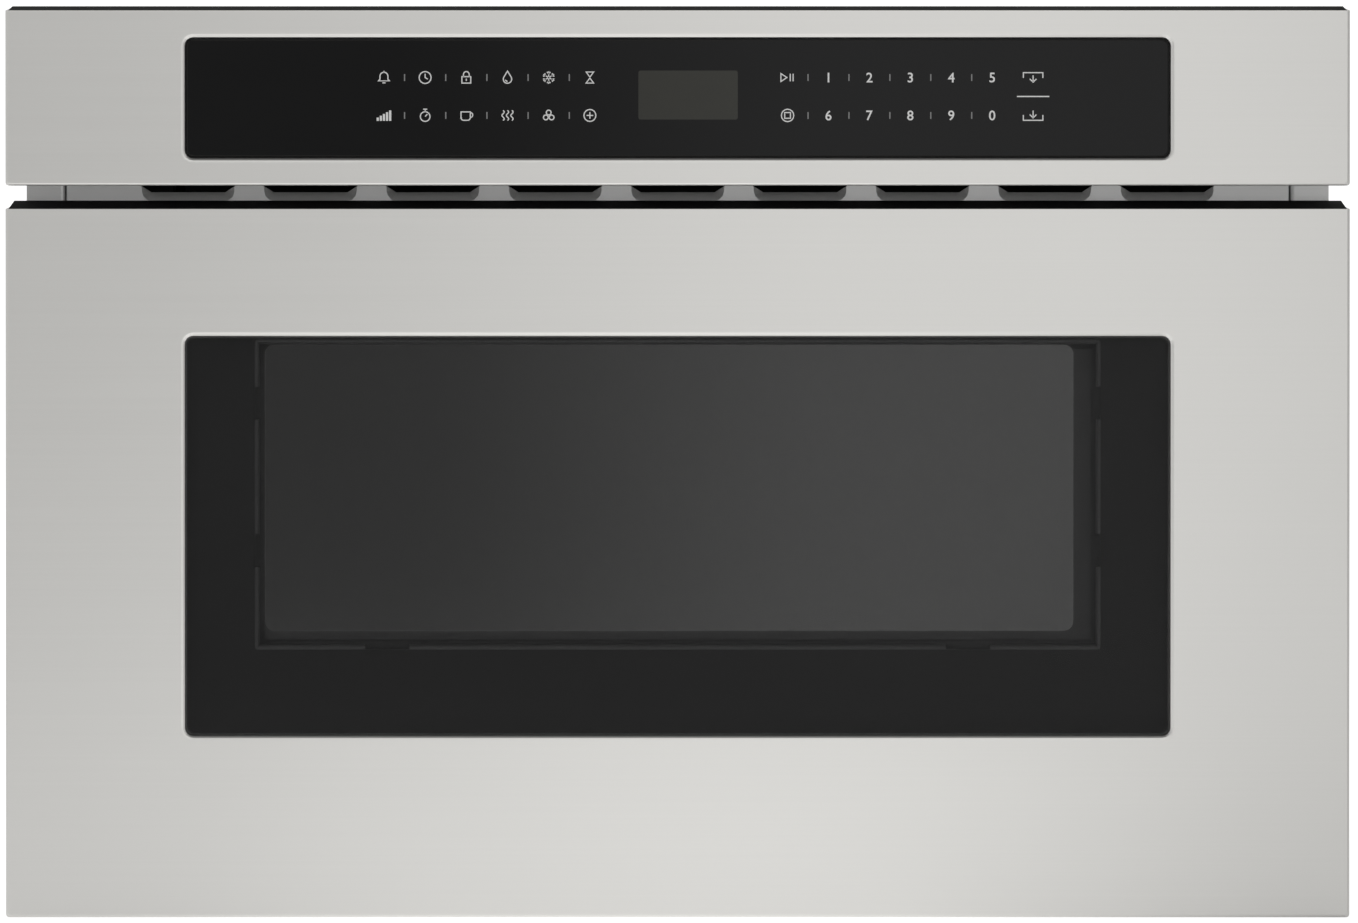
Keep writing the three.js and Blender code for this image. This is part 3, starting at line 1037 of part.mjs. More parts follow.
function makeDrive() {
  const shaft = [shaftY, SHAFT_Z];
  const motorAxis = [motorAxisY, SHAFT_Z];
  const gearX = [rackX[0] - 24, rackX[0] - 24 + GEAR_WIDTH];
  const cheekX = [[gearX[1] + CHEEK, gearX[1] + 2 * CHEEK], [gearX[0] - 2 * CHEEK, gearX[0] - CHEEK]];

  // Rack: straight flanks, a gap centred over the pinion's upper tooth
  const rackPitchZ = SHAFT_Z + pinionRadius;
  const reach = (DRAWER_TRAVEL + 4 * rackPitch) / rackPitch;
  const teeth = Math.ceil(reach);
  const rackStart = shaftY - 2 * rackPitch;
  const lean = Math.tan(PRESSURE_ANGLE);
  const halfAt = (lift) => rackPitch / 4 - TOOTH_PLAY - lift * lean;
  const rootLift = -1.25 * RACK_MODULE;
  const outline = repeat(teeth, (tooth) => {
    const centre = rackStart + (tooth + 0.5) * rackPitch;
    return [[-1, rootLift], [-1, RACK_MODULE], [1, RACK_MODULE], [1, rootLift]].map(([side, lift]) =>
      new Vector2(centre + side * halfAt(lift), rackPitchZ - lift));
  }).flat();
  const rackEnd = rackStart + teeth * rackPitch;
  const backZ = rackPitchZ - rootLift + RACK_BACK;
  const rootZ = rackPitchZ - rootLift;
  place('drive_rack', prism('x', [
    new Vector2(rackStart, backZ), new Vector2(rackStart, rootZ), ...outline,
    new Vector2(rackEnd, rootZ), new Vector2(rackEnd, backZ)], ...rackX), ACETAL);

  // Compound gear: the motor's wheel and the rack's pinion on one shaft
  place('drive_gear', join(
    rod('x', shaft, SHAFT_RADIUS, cheekX[1][0] - 4, rackX[1], 16),
    prism('x', gearOutline(shaft, RACK_PINION_TEETH, RACK_MODULE, Math.PI / 2), ...grown(rackX, -0.8)),
    prism('x', gearOutline(shaft, GEAR_TEETH, GEAR_MODULE, 0), ...gearX),
    rod('x', shaft, 9, gearX[0] - 2, gearX[1] + 2, 20),
  ), ACETAL);
  place('motor_pinion', join(
    prism('x', gearOutline(motorAxis, MOTOR_TEETH, GEAR_MODULE, Math.PI / MOTOR_TEETH), ...grown(gearX, 0.5)),
    rod('x', motorAxis, 3, cheekX[1][0] - 5, gearX[1] + 1, 12),
  ), GREASED_STEEL);

  // Bracket: two cheeks with bearing holes on one foot, screwed to the base pan
  const cheekY = [shaftY - 22, motorAxisY + 24];
  const cheekZ = [floorZ, SHAFT_Z + 24];
  const bearings = rod('x', shaft, SHAFT_RADIUS + BEARING_PLAY, cheekX[1][0] - 1, cheekX[0][1] + 1, 16);
  const boss = rod('x', motorAxis, 7, cheekX[1][0] - 1, cheekX[1][1] + 1, 16);
  const farCheekY = [shaftY - 22, shaftY + 12];
  place('drive_bracket', cut(join(
    block(cheekX[1], cheekY, cheekZ), block(cheekX[0], farCheekY, [cheekZ[0], SHAFT_Z + 9]),
    block([cheekX[1][0], cheekX[0][1]], cheekY, [floorZ, floorZ + 2]),
  ), bearings, boss), GALVANISED);

  const motorX = cheekX[1][0] - FIT;
  const gearboxX = motorX - GEARBOX_LENGTH;
  const motorEndX = gearboxX - DRIVE_MOTOR_LENGTH;
  place('drive_motor', cut(join(
    rod('x', motorAxis, GEARBOX_RADIUS, gearboxX, motorX, 24),
    rod('x', motorAxis, DRIVE_MOTOR_RADIUS, motorEndX, gearboxX + 1, 24),
    rod('x', motorAxis, 6, motorEndX - 6, motorEndX + 1, 12),
  ), rod('x', motorAxis, 3 + BEARING_PLAY, motorX - 6, motorX + 1, 12)), IRON);
}

// ---- Interlock switch -----------------------------------------------------------------------

function makeSwitch() {
  const centre = [strikerX, STRIKER_Z];
  const bodyY = [strikerTipY + SWITCH_SETBACK, strikerTipY + SWITCH_SETBACK + SWITCH_LENGTH];
  const plungerRear = (bodyY[0] + bodyY[1]) / 2 - 3;
  place('door_switch', cut(
    block([strikerX - SWITCH_WIDTH, sideInnerX - FIT], bodyY, around(STRIKER_Z, SWITCH_HEIGHT)),
    rod('y', centre, PLUNGER_RADIUS + BEARING_PLAY, bodyY[0] - 1, plungerRear + 4, 12),
  ), BLACK_PLASTIC);
  place('switch_plunger', rod('y', centre, PLUNGER_RADIUS, strikerTipY + FIT, plungerRear, 12), RED_PLASTIC);
}

makeControlPanel();
makeChassis();
makeVentGrille();
makeCavity();
makeDuctAndBoards();
makeGenerator();
makeFan();
makeDrawerFront();
makeDrawerBox();
makeSlides();
makeDrive();
makeSwitch();

export default model;
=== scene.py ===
# The looks of the microwave drawer: finishes, printed keys, window, screws, light and camera.
# Metres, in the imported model's frame: +X the viewer's right, -Y the front, +Z up.
import json
import math

import bmesh
import bpy
from mathutils import Matrix, Vector


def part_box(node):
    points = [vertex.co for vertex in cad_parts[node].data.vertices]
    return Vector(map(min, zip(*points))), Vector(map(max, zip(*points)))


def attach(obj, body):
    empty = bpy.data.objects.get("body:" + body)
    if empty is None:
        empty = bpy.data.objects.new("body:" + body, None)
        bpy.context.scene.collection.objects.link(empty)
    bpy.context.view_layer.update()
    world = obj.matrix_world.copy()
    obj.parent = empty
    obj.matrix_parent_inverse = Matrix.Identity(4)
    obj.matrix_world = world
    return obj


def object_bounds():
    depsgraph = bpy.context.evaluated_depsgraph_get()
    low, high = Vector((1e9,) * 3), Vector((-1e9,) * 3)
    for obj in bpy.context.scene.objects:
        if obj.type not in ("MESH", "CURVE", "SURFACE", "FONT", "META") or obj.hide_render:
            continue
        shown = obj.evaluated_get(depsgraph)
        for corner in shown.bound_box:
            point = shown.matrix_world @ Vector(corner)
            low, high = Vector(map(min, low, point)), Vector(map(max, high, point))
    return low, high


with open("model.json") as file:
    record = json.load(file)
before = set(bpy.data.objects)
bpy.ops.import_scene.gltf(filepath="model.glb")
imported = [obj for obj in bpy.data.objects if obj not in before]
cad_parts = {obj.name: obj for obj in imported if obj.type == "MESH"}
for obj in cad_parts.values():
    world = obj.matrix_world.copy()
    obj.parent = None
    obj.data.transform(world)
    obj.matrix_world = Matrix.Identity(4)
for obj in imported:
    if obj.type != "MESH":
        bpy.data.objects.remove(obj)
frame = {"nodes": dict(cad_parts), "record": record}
nodes = frame["nodes"]
cad_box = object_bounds()

MM = 0.001

# ---- Camera ---------------------------------------------------------------------------------

CAMERA_DISTANCE = 20.0
CAMERA_ELEVATION = math.radians(3.0)
PICTURE_WIDTH = 0.6125          # metres across the picture, at the face
AIM_RIGHT = 0.6 * MM            # picture's centre from the object's middle
AIM_UP = 190.0 * MM
SENSOR = 36
CAMERA_REACH = 100              # metres that the camera sees


def make_camera():
    data = bpy.data.cameras.new("camera")
    data.sensor_width = SENSOR
    data.lens = SENSOR * CAMERA_DISTANCE / PICTURE_WIDTH
    data.clip_end = CAMERA_REACH
    camera = bpy.data.objects.new("camera", data)
    bpy.context.scene.collection.objects.link(camera)
    back = Vector((0, -math.cos(CAMERA_ELEVATION), math.sin(CAMERA_ELEVATION)))
    aim = Vector((AIM_RIGHT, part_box("control_bezel")[0].y, AIM_UP))
    camera.location = aim + CAMERA_DISTANCE * back
    camera.rotation_euler = (-back).to_track_quat("-Z", "Y").to_euler()
    bpy.context.scene.camera = camera


# ---- Floor and light ------------------------------------------------------------------------

FLOOR_RADIUS = 40
FLOOR_SIDES = 96
FLOOR_GAP = 0.2 * MM            # below the object
FLOOR_TONES = (0.61, 0.64)
FLOOR_CLOUDS = (1, 1, 1)        # scale of its mottling, per metre and axis
FLOOR_GLOW = 0.75               # what the floor shows the camera beyond the light that it scatters
# The floor's glow as steel and glass mirror it: metres to the right of the middle, and brightness
FLOOR_MIRRORED = [(-1, 0.32), (-0.32, 0.45), (-0.1, 0.72), (0, 0.74), (0.1, 0.69), (0.3, 0.21), (1, 0.14)]

# The room round the object, from its left to its right
WALLS = [(0, (0.55, 0.55, 0.56)), (0.5, (0.72, 0.72, 0.72)), (1, (0.60, 0.60, 0.59))]
# The room's ceiling, which only steel and glass see darker than the walls: where it starts and is full, as
# the height of a direction, and by how much it darkens
CEILING = {"From Min": 0.45, "From Max": 0.85, "To Min": 0.0, "To Max": 0.8}
TOP_LIGHT_PLACE = (0.3, 1.2, 3.0)
TOP_LIGHT_SIZE = (2.4, 2.4)
TOP_LIGHT_RADIANCE = 0.85

# The soft light screen in front of the object, in metres
SCREEN_SIZE = (2.2, 1.15)       # across and up
SCREEN_DISTANCE = 1.5           # from the object's front
SCREEN_MIDDLE = 0.12            # right of the object's middle
SCREEN_LIFT = 5 * MM            # above the object's foot
# Brightness across the screen: its lower part, which the glass mirrors, and above that
SCREEN_LOW = [(0, 0.4), (0.25, 0.42), (0.395, 0.44), (0.45, 0.88),
              (0.48, 1.08), (0.56, 1.06), (0.7, 0.56), (1, 0.25)]
SCREEN_HIGH = [(0, 0.46), (0.25, 0.64), (0.42, 1.16), (0.54, 1.12), (0.7, 0.54), (1, 0.26)]
SCREEN_UP = -1                  # the sheet's own Y points down once it faces the object
SCREEN_CHANGE = (-0.2, 0)       # share of the height, from the middle, where one gives way to the other


def make_floor():
    bpy.ops.mesh.primitive_circle_add(vertices=FLOOR_SIDES, radius=FLOOR_RADIUS, fill_type="NGON",
                                      location=(0, 0, cad_box[0].z - FLOOR_GAP))
    floor = bpy.context.object
    floor.name = "floor"
    material = bpy.data.materials.new("floor")
    material.use_nodes = True
    tree = material.node_tree
    tree.nodes.clear()
    path = node(tree, "ShaderNodeLightPath")
    plain = maths(tree, "MAXIMUM", path.outputs["Is Camera Ray"], path.outputs["Is Transmission Ray"])
    right = axes(tree, coordinates(tree))["X"]
    mirrored = ramp(tree, share_across(tree, right),
                    [((place + 1) / 2, grey(value)) for place, value in FLOOR_MIRRORED])
    glow = maths(tree, "ADD", maths(tree, "MULTIPLY", plain, FLOOR_GLOW),
                 maths(tree, "MULTIPLY", path.outputs["Is Glossy Ray"], mirrored))
    emission = node(tree, "ShaderNodeEmission", {"Color": (1, 1, 1, 1), "Strength": glow})
    mottle = ramp(tree, noise(tree, FLOOR_CLOUDS, detail=2), list(enumerate(map(grey, FLOOR_TONES))))
    diffuse = node(tree, "ShaderNodeBsdfDiffuse", {"Color": mottle})
    both = node(tree, "ShaderNodeAddShader", {0: diffuse.outputs[0], 1: emission.outputs[0]})
    node(tree, "ShaderNodeOutputMaterial", {"Surface": both.outputs[0]})
    floor.data.materials.append(material)


def make_light():
    world = bpy.data.worlds.new("studio")
    bpy.context.scene.world = world
    world.use_nodes = True
    tree = world.node_tree
    tree.nodes.clear()
    direction = axes(tree, node(tree, "ShaderNodeTexCoord").outputs["Generated"])
    level = ramp(tree, share_across(tree, direction["X"]), WALLS)
    ceiling = node(tree, "ShaderNodeMapRange", {"Value": direction["Z"], **CEILING}).outputs["Result"]
    glossy = node(tree, "ShaderNodeLightPath").outputs["Is Glossy Ray"]
    strength = maths(tree, "SUBTRACT", 1, maths(tree, "MULTIPLY", glossy, ceiling))
    background = node(tree, "ShaderNodeBackground", {"Color": level, "Strength": strength})
    node(tree, "ShaderNodeOutputWorld", {"Surface": background.outputs[0]})
    make_top_light()
    make_light_screen()


def make_top_light():
    """A soft lamp above and behind the face, which it doesn't hit, turned towards the object's foot."""
    data = bpy.data.lights.new("top_light", "AREA")
    data.shape = "RECTANGLE"
    data.size, data.size_y = TOP_LIGHT_SIZE
    data.energy = math.pi * TOP_LIGHT_SIZE[0] * TOP_LIGHT_SIZE[1] * TOP_LIGHT_RADIANCE
    light = bpy.data.objects.new("top_light", data)
    light.location = TOP_LIGHT_PLACE
    light.rotation_euler = (-Vector(TOP_LIGHT_PLACE)).to_track_quat("-Z", "Y").to_euler()
    light.visible_camera = False
    bpy.context.scene.collection.objects.link(light)


def make_light_screen():
    """A standing sheet of soft light in front, brightest near its middle, which only steel and glass see."""
    bpy.ops.mesh.primitive_plane_add(size=1, rotation=(-math.pi / 2, 0, 0), location=(
        SCREEN_MIDDLE, cad_box[0].y - SCREEN_DISTANCE, cad_box[0].z + SCREEN_SIZE[1] / 2 + SCREEN_LIFT))
    screen = bpy.context.object
    screen.name = "light_screen"
    screen.scale = (*SCREEN_SIZE, 1)
    material = bpy.data.materials.new("light_screen")
    material.use_nodes = True
    tree = material.node_tree
    tree.nodes.clear()
    place = axes(tree, coordinates(tree))
    share = maths(tree, "ADD", place["X"], 0.5)
    low, high = (ramp(tree, share, [(stop, grey(value)) for stop, value in levels])
                 for levels in (SCREEN_LOW, SCREEN_HIGH))
    up = node(tree, "ShaderNodeMapRange", {
        "Value": maths(tree, "MULTIPLY", place["Y"], SCREEN_UP),
        "From Min": SCREEN_CHANGE[0], "From Max": SCREEN_CHANGE[1],
    }).outputs["Result"]
    level = mixed(tree, up, low, high)
    front = maths(tree, "SUBTRACT", 1, node(tree, "ShaderNodeNewGeometry").outputs["Backfacing"])
    emission = node(tree, "ShaderNodeEmission", {"Color": level, "Strength": front})
    node(tree, "ShaderNodeOutputMaterial", {"Surface": emission.outputs[0]})
    screen.data.materials.append(material)
    screen.visible_camera = False
    screen.visible_diffuse = False
    screen.visible_shadow = False


# ---- Nodes ----------------------------------------------------------------------------------

NOISE_RANGE = (0.3, 0.7)        # where a noise factor mostly lies


def node(tree, kind, inputs=None, **settings):
    made = tree.nodes.new(kind)
    for key, value in settings.items():
        setattr(made, key, value)
    for socket, value in (inputs or {}).items():
        if isinstance(value, bpy.types.NodeSocket):
            tree.links.new(value, made.inputs[socket])
        else:
            made.inputs[socket].default_value = value
    return made


def maths(tree, operation, *values):
    return node(tree, "ShaderNodeMath", dict(enumerate(values)), operation=operation).outputs[0]


def coordinates(tree):
    return node(tree, "ShaderNodeTexCoord").outputs["Object"]


def axes(tree, vector):
    return node(tree, "ShaderNodeSeparateXYZ", {"Vector": vector}).outputs


def share_across(tree, value):
    """A coordinate from -1 to 1 as a share from 0 to 1."""
    return node(tree, "ShaderNodeMapRange", {
        "Value": value, "From Min": -1.0, "From Max": 1.0,
    }).outputs["Result"]


def ranged(tree, factor, low, high):
    """A factor from 0 to 1 as a number from low to high."""
    return node(tree, "ShaderNodeMapRange", {
        "Value": factor, "To Min": low, "To Max": high,
    }).outputs["Result"]


def grey(value):
    return (value,) * 3


def shades(colour, contrast):
    """A colour a little darker and a little lighter."""
    return (tuple(channel * share for channel in colour) for share in (1 - contrast, 1 + contrast))


def stretched(tree, scale):
    """The object's coordinates in metres, times a scale per axis."""
    return node(tree, "ShaderNodeMapping", {"Vector": coordinates(tree), "Scale": scale}).outputs["Vector"]


def noise(tree, scale, detail=3.0, distortion=0.0):
    return node(tree, "ShaderNodeTexNoise", {
        "Vector": stretched(tree, scale), "Scale": 1.0, "Detail": detail, "Distortion": distortion,
    }).outputs["Fac"]


def ramp(tree, factor, stops):
    made = node(tree, "ShaderNodeValToRGB", {"Fac": factor})
    elements = made.color_ramp.elements
    while len(elements) < len(stops):
        elements.new(0.5)
    for element, (place, colour) in zip(elements, stops):
        element.position = place
        element.color = (*colour, 1)
    return made.outputs["Color"]


def spread(tree, factor, low, high):
    """A noise factor as a number from low to high."""
    return node(tree, "ShaderNodeMapRange", {
        "Value": factor, "From Min": NOISE_RANGE[0], "From Max": NOISE_RANGE[1],
        "To Min": low, "To Max": high,
    }).outputs["Result"]


def mixed(tree, factor, first, second):
    """first where the factor is 0, second where it is 1."""
    made = node(tree, "ShaderNodeMix", data_type="RGBA")
    for index, value in ((0, factor), (6, first), (7, second)):
        if isinstance(value, bpy.types.NodeSocket):
            tree.links.new(value, made.inputs[index])
        else:
            made.inputs[index].default_value = value
    return made.outputs[2]


def finish(name, **sockets):
    """A new material, its node tree and its shader, with some of the shader's sockets set."""
    material = bpy.data.materials.new(name)
    material.use_nodes = True
    tree = material.node_tree
    shader = tree.nodes["Principled BSDF"]
    for socket, value in sockets.items():
        socket = socket.replace("_", " ").title().replace("Ior", "IOR")
        shader.inputs[socket].default_value = value
    return material, tree, shader


def link(tree, output, shader, socket):
    tree.links.new(output, shader.inputs[socket])


def bump(tree, shader, height, depth):
    """Raises the surface by a height factor, up to a depth in millimetres."""
    raised = node(tree, "ShaderNodeBump", {"Height": height, "Distance": depth * MM, "Strength": 1.0})
    link(tree, raised.outputs["Normal"], shader, "Normal")


# ---- Finishes -------------------------------------------------------------------------------

# Scales of patterns, per metre and axis
LEVEL_GRAIN = (5, 5, 1400)
LONG_GRAIN = (900, 20, 900)
CLOUDS = (7, 7, 5)
SPECKS = (900, 900, 900)
GLAZE_SPECKS = (260, 260, 260)
UNEVEN_GLOSS = (60, 60, 60)
SPANGLE = (110, 110, 110)
SHEET_PORES = (700, 700, 700)
WIPES = (14, 14, 30)
SCREEN_SPECKS = (500, 500, 500)
LAMINATIONS = (0, 1200, 0)
WIRE_TURNS = (0, 0, 1500)
TRACKS = (160, 160, 160)
BOARD_PORES = (500, 500, 500)

GRAIN_GLOSS = 0.8               # how far brushed steel's roughness varies, per unit of its contrast
GRAIN_DEPTH = 0.1               # millimetres, per unit of its contrast
GLOSS_SPREAD = 0.04             # how far the roughness of paint and plastic varies either way
SPECK_EDGES = (0.35, 0.65)
ZINC_TONES = ((0.56, 0.58, 0.59), (0.68, 0.70, 0.71))
ZINC_GLOSS = (0.36, 0.5)
PORE_DEPTH = 0.006
# Painted shade: the inner side of a sheet within the chassis painted near black, standing in for the dark
# there; its tone, and how far a face's normal must point forward to take it
PAINTED_SHADE_TONE = 0.008
PAINTED_SHADE_FACING = -0.5             # how far a face's normal points forward, on the inner side
SMEAR_CONTRAST = 0.06
SMEAR_HAZE = 0.03
BAND_GLOSS = 0.15
BAND_DEPTH = 0.1
BAND_EDGES = (0.2, 0.8)
BOARD_DEPTH = 0.02


def steel(name, colour, roughness, grain, metallic=1.0, contrast=0.015):
    """Brushed sheet, its grain along the axes whose scale is low."""
    material, tree, shader = finish(name, metallic=metallic)
    fine = noise(tree, grain, detail=4)
    clouds = noise(tree, CLOUDS, detail=2)
    dark, light = shades(colour, contrast)
    half = maths(tree, "MULTIPLY", maths(tree, "ADD", fine, clouds), 0.5)
    link(tree, ramp(tree, half, [(NOISE_RANGE[0], dark), (NOISE_RANGE[1], light)]), shader, "Base Color")
    change = GRAIN_GLOSS * contrast
    link(tree, spread(tree, fine, roughness - change, roughness + change), shader, "Roughness")
    bump(tree, shader, fine, GRAIN_DEPTH * contrast)
    return material


def painted(name, colour, roughness, speck=SPECKS, contrast=0.06, depth=0.01, mirror=0.5):
    """Enamel, paint or moulded plastic: faint specks, uneven gloss and a fine orange-peel surface."""
    material, tree, shader = finish(name, specular_ior_level=mirror)
    specks = noise(tree, speck, detail=3)
    dark, light = shades(colour, contrast)
    link(tree, ramp(tree, specks, [(SPECK_EDGES[0], dark), (SPECK_EDGES[1], light)]), shader, "Base Color")
    uneven = noise(tree, UNEVEN_GLOSS)
    link(tree, spread(tree, uneven, roughness - GLOSS_SPREAD, roughness + GLOSS_SPREAD), shader, "Roughness")
    bump(tree, shader, specks, depth)
    return material


def galvanised(name, shade_inside=False):
    """Zinc-coated sheet with its faint spangle, and where asked a painted shade: its inner side painted near
    black for the dark inside the chassis.
    """
    material, tree, shader = finish(name, metallic=1.0)
    crystals = node(tree, "ShaderNodeTexVoronoi", {"Vector": stretched(tree, SPANGLE), "Scale": 1.0},
                    feature="F1").outputs["Color"]
    crystal = node(tree, "ShaderNodeSeparateColor", {"Color": crystals}).outputs["Red"]
    zinc_and_painted_shade = ramp(tree, crystal, [(0, ZINC_TONES[0]), (1, ZINC_TONES[1])])
    # Painted shade: faces pointing forward, into the chassis, made near black and not metallic for the dark
    # there
    if shade_inside:
        normal = axes(tree, node(tree, "ShaderNodeNewGeometry").outputs["True Normal"])
        inner = maths(tree, "LESS_THAN", normal["Y"], PAINTED_SHADE_FACING)
        zinc_and_painted_shade = mixed(tree, inner, zinc_and_painted_shade, (*grey(PAINTED_SHADE_TONE), 1))
        link(tree, maths(tree, "SUBTRACT", 1, inner), shader, "Metallic")
    link(tree, zinc_and_painted_shade, shader, "Base Color")
    link(tree, ranged(tree, crystal, *ZINC_GLOSS), shader, "Roughness")
    bump(tree, shader, noise(tree, SHEET_PORES), PORE_DEPTH)
    return material


def glass(name, colour, alpha, haze, mirror=0.3):
    """Dark glass with the faint haze of a wiped pane."""
    material, tree, shader = finish(name, alpha=alpha, specular_ior_level=mirror)
    smear = noise(tree, WIPES, detail=4, distortion=0.6)
    dark, light = shades(colour, SMEAR_CONTRAST)
    link(tree, ramp(tree, smear, [(NOISE_RANGE[0], dark), (NOISE_RANGE[1], light)]), shader, "Base Color")
    link(tree, spread(tree, smear, haze, haze + SMEAR_HAZE), shader, "Roughness")
    return material


def rounded_field(tree, left, right, low, high, corner, soft):
    """1 inside a rounded rectangle across and up the front, 0 outside, with a soft edge. Millimetres."""
    place = axes(tree, coordinates(tree))
    beyond = []
    for axis, start, end in (("X", left, right), ("Z", low, high)):
        middle, half = (start + end) / 2 * MM, (end - start) / 2 * MM
        away = maths(tree, "ABSOLUTE", maths(tree, "SUBTRACT", place[axis], middle))
        beyond.append(maths(tree, "MAXIMUM", maths(tree, "SUBTRACT", away, half - corner * MM), 0))
    squares = [maths(tree, "MULTIPLY", value, value) for value in beyond]
    reach = maths(tree, "SQRT", maths(tree, "ADD", *squares))
    return node(tree, "ShaderNodeMapRange", {
        "Value": reach, "From Min": (corner + soft / 2) * MM, "From Max": (corner - soft / 2) * MM,
    }).outputs["Result"]


# The window's screen, its lengths in millimetres
PERFORATED = (-186.5, 178.8, 112.7, 242.5)      # the punched field: left, right, low and high
PERFORATED_CORNER = 4.5
PERFORATED_SOFT = 1.2           # width of the field's soft edge
HOLE_PITCH = 1.5
HOLE_EDGES = (0.2, 0.7)         # of the lattice's height, which is 0 between holes and 1 in their middles
HOLE_TONES = ((0.185, 0.185, 0.183), (0.15, 0.15, 0.149))
BLACKENED_TONES = (0.11, 0.125)
SCREEN_GLOSS = (0.5, 0.13)      # roughness round the field, and in it


def perforated_screen(name):
    """Blackened sheet whose middle is punched with fine holes, staggered row by row."""
    material, tree, shader = finish(name, specular_ior_level=0.2)
    place = axes(tree, coordinates(tree))
    turn = math.pi / (HOLE_PITCH * MM)
    slopes = [maths(tree, kind, place["X"], place["Z"]) for kind in ("ADD", "SUBTRACT")]
    waves = [maths(tree, "SINE", maths(tree, "MULTIPLY", slope, turn)) for slope in slopes]
    lattice = maths(tree, "ABSOLUTE", maths(tree, "MULTIPLY", *waves))
    field = rounded_field(tree, *PERFORATED, PERFORATED_CORNER, PERFORATED_SOFT)
    sheet = ramp(tree, noise(tree, SCREEN_SPECKS),
                 [(edge, grey(tone)) for edge, tone in zip(SPECK_EDGES, BLACKENED_TONES)])
    punched = ramp(tree, lattice, list(zip(HOLE_EDGES, HOLE_TONES)))
    link(tree, mixed(tree, field, sheet, punched), shader, "Base Color")
    link(tree, field, shader, "Metallic")
    link(tree, ranged(tree, field, *SCREEN_GLOSS), shader, "Roughness")
    return material


def banded(name, dark, light, turns, roughness, metallic):
    """Fine bands: stacked laminations, or turns of wire."""
    material, tree, shader = finish(name, metallic=metallic)
    bands = node(tree, "ShaderNodeTexWave", {
        "Vector": stretched(tree, turns), "Scale": 1.0, "Distortion": 0.3, "Detail": 2.0,
    }, wave_type="BANDS", bands_direction="DIAGONAL").outputs["Fac"]
    link(tree, ramp(tree, bands, [(BAND_EDGES[0], dark), (BAND_EDGES[1], light)]), shader, "Base Color")
    link(tree, ranged(tree, bands, roughness, roughness + BAND_GLOSS), shader, "Roughness")
    bump(tree, shader, bands, BAND_DEPTH)
    return material


def circuit_board(name):
    """Green solder mask with faint tracks."""
    material, tree, shader = finish(name, roughness=0.4)
    tracks = node(tree, "ShaderNodeTexBrick", {
        "Vector": stretched(tree, TRACKS), "Scale": 1.0, "Mortar Size": 0.04,
        "Color1": (0.016, 0.10, 0.055, 1), "Color2": (0.02, 0.12, 0.065, 1), "Mortar": (0.05, 0.22, 0.12, 1),
    }).outputs["Color"]
    link(tree, tracks, shader, "Base Color")
    bump(tree, shader, noise(tree, BOARD_PORES), BOARD_DEPTH)
    return material


FINISHES = {}


def make_finishes():
    FINISHES.update({
        "stainless": steel("stainless", (0.733, 0.725, 0.7), 0.32, LEVEL_GRAIN),
        "front_steel": steel("front_steel", (0.76, 0.76, 0.75), 0.3, LEVEL_GRAIN, 0.55, 0.006),
        # The vent grille's steel, lighter and less metallic than the front steel: in part painted light,
        # which lifts the louvres that lie in the control panel's shade.
        "grille_steel_painted_light": steel("grille_steel_painted_light", (0.9, 0.9, 0.89), 0.3, LEVEL_GRAIN, 0.35, 0.006),
        "bright_steel": steel("bright_steel", (0.63, 0.64, 0.64), 0.28, LONG_GRAIN),
        "galvanised": galvanised("galvanised"),
        # The rear sheet's inner side is painted near black, a painted shade for the dark inside the chassis.
        "rear_sheet_painted_shade": galvanised("rear_sheet_painted_shade", shade_inside=True),
        "enamel": painted("enamel", (0.52, 0.52, 0.50), 0.35, contrast=0.1),
        "black_plastic": painted("black_plastic", grey(0.012), 0.42, contrast=0.15),
        "matt_black": painted("matt_black", grey(0.010), 0.8, contrast=0.15, mirror=0.05),
        "smoked_metal": painted("smoked_metal", grey(0.122), 0.4, contrast=0.1),
        "acetal": painted("acetal", (0.72, 0.70, 0.64), 0.35, contrast=0.03),
        "red_plastic": painted("red_plastic", (0.27, 0.016, 0.012), 0.35),
        "ceramic": painted("ceramic", (0.66, 0.64, 0.58), 0.22, GLAZE_SPECKS, contrast=0.05, depth=0.004),
        "iron": banded("iron", (0.045, 0.045, 0.048), (0.08, 0.08, 0.085), LAMINATIONS, 0.45, 0.6),
        "copper": banded("copper", (0.36, 0.11, 0.04), (0.52, 0.18, 0.07), WIRE_TURNS, 0.3, 0.9),
        "circuit_board": circuit_board("circuit_board"),
        "black_glass": glass("black_glass", (0.004, 0.004, 0.0042), 1.0, 0.09, 0.22),
        "window_glass": glass("window_glass", grey(0.006), 0.25, 0.06, 0.12),
        "glass_print": painted("glass_print", grey(0.073), 0.5, contrast=0.03, depth=0.002, mirror=0.1),
        "clear_glass": glass("clear_glass", (0.05, 0.055, 0.052), 0.4, 0.03),
        "screen": perforated_screen("screen"),
        "display": glass("display", (0.038, 0.038, 0.031), 1.0, 0.12),
        "white_ink": painted("white_ink", (0.93, 0.93, 0.92), 0.5, contrast=0.03, depth=0.002),
        "grey_ink": painted("grey_ink", grey(0.27), 0.5, contrast=0.04, depth=0.002),
    })


# CAD nodes whose finish isn't their slot's
OWN_FINISHES = {
    "window_glass": "window_glass", "inner_glass": "clear_glass", "window_screen": "screen",
    "control_top_cap": "matt_black", "drawer_top_cap": "matt_black", "exhaust_duct": "matt_black",
    # The rear panel's finish has a painted shade on its inner side.
    # The vent grille's finish is partly painted light.
    "vent_grille": "grille_steel_painted_light", "rear_panel": "rear_sheet_painted_shade",
}


def dress_cad():
    """Gives each CAD node the finish of its slot, or its own."""
    for part in frame["record"]["subparts"]:
        name = part["node"]
        material = FINISHES[OWN_FINISHES.get(name, part["material_slot"])]
        mesh = nodes[name].data
        mesh.materials.clear()
        mesh.materials.append(material)


# ---- Printed keys on the control glass ------------------------------------------------------

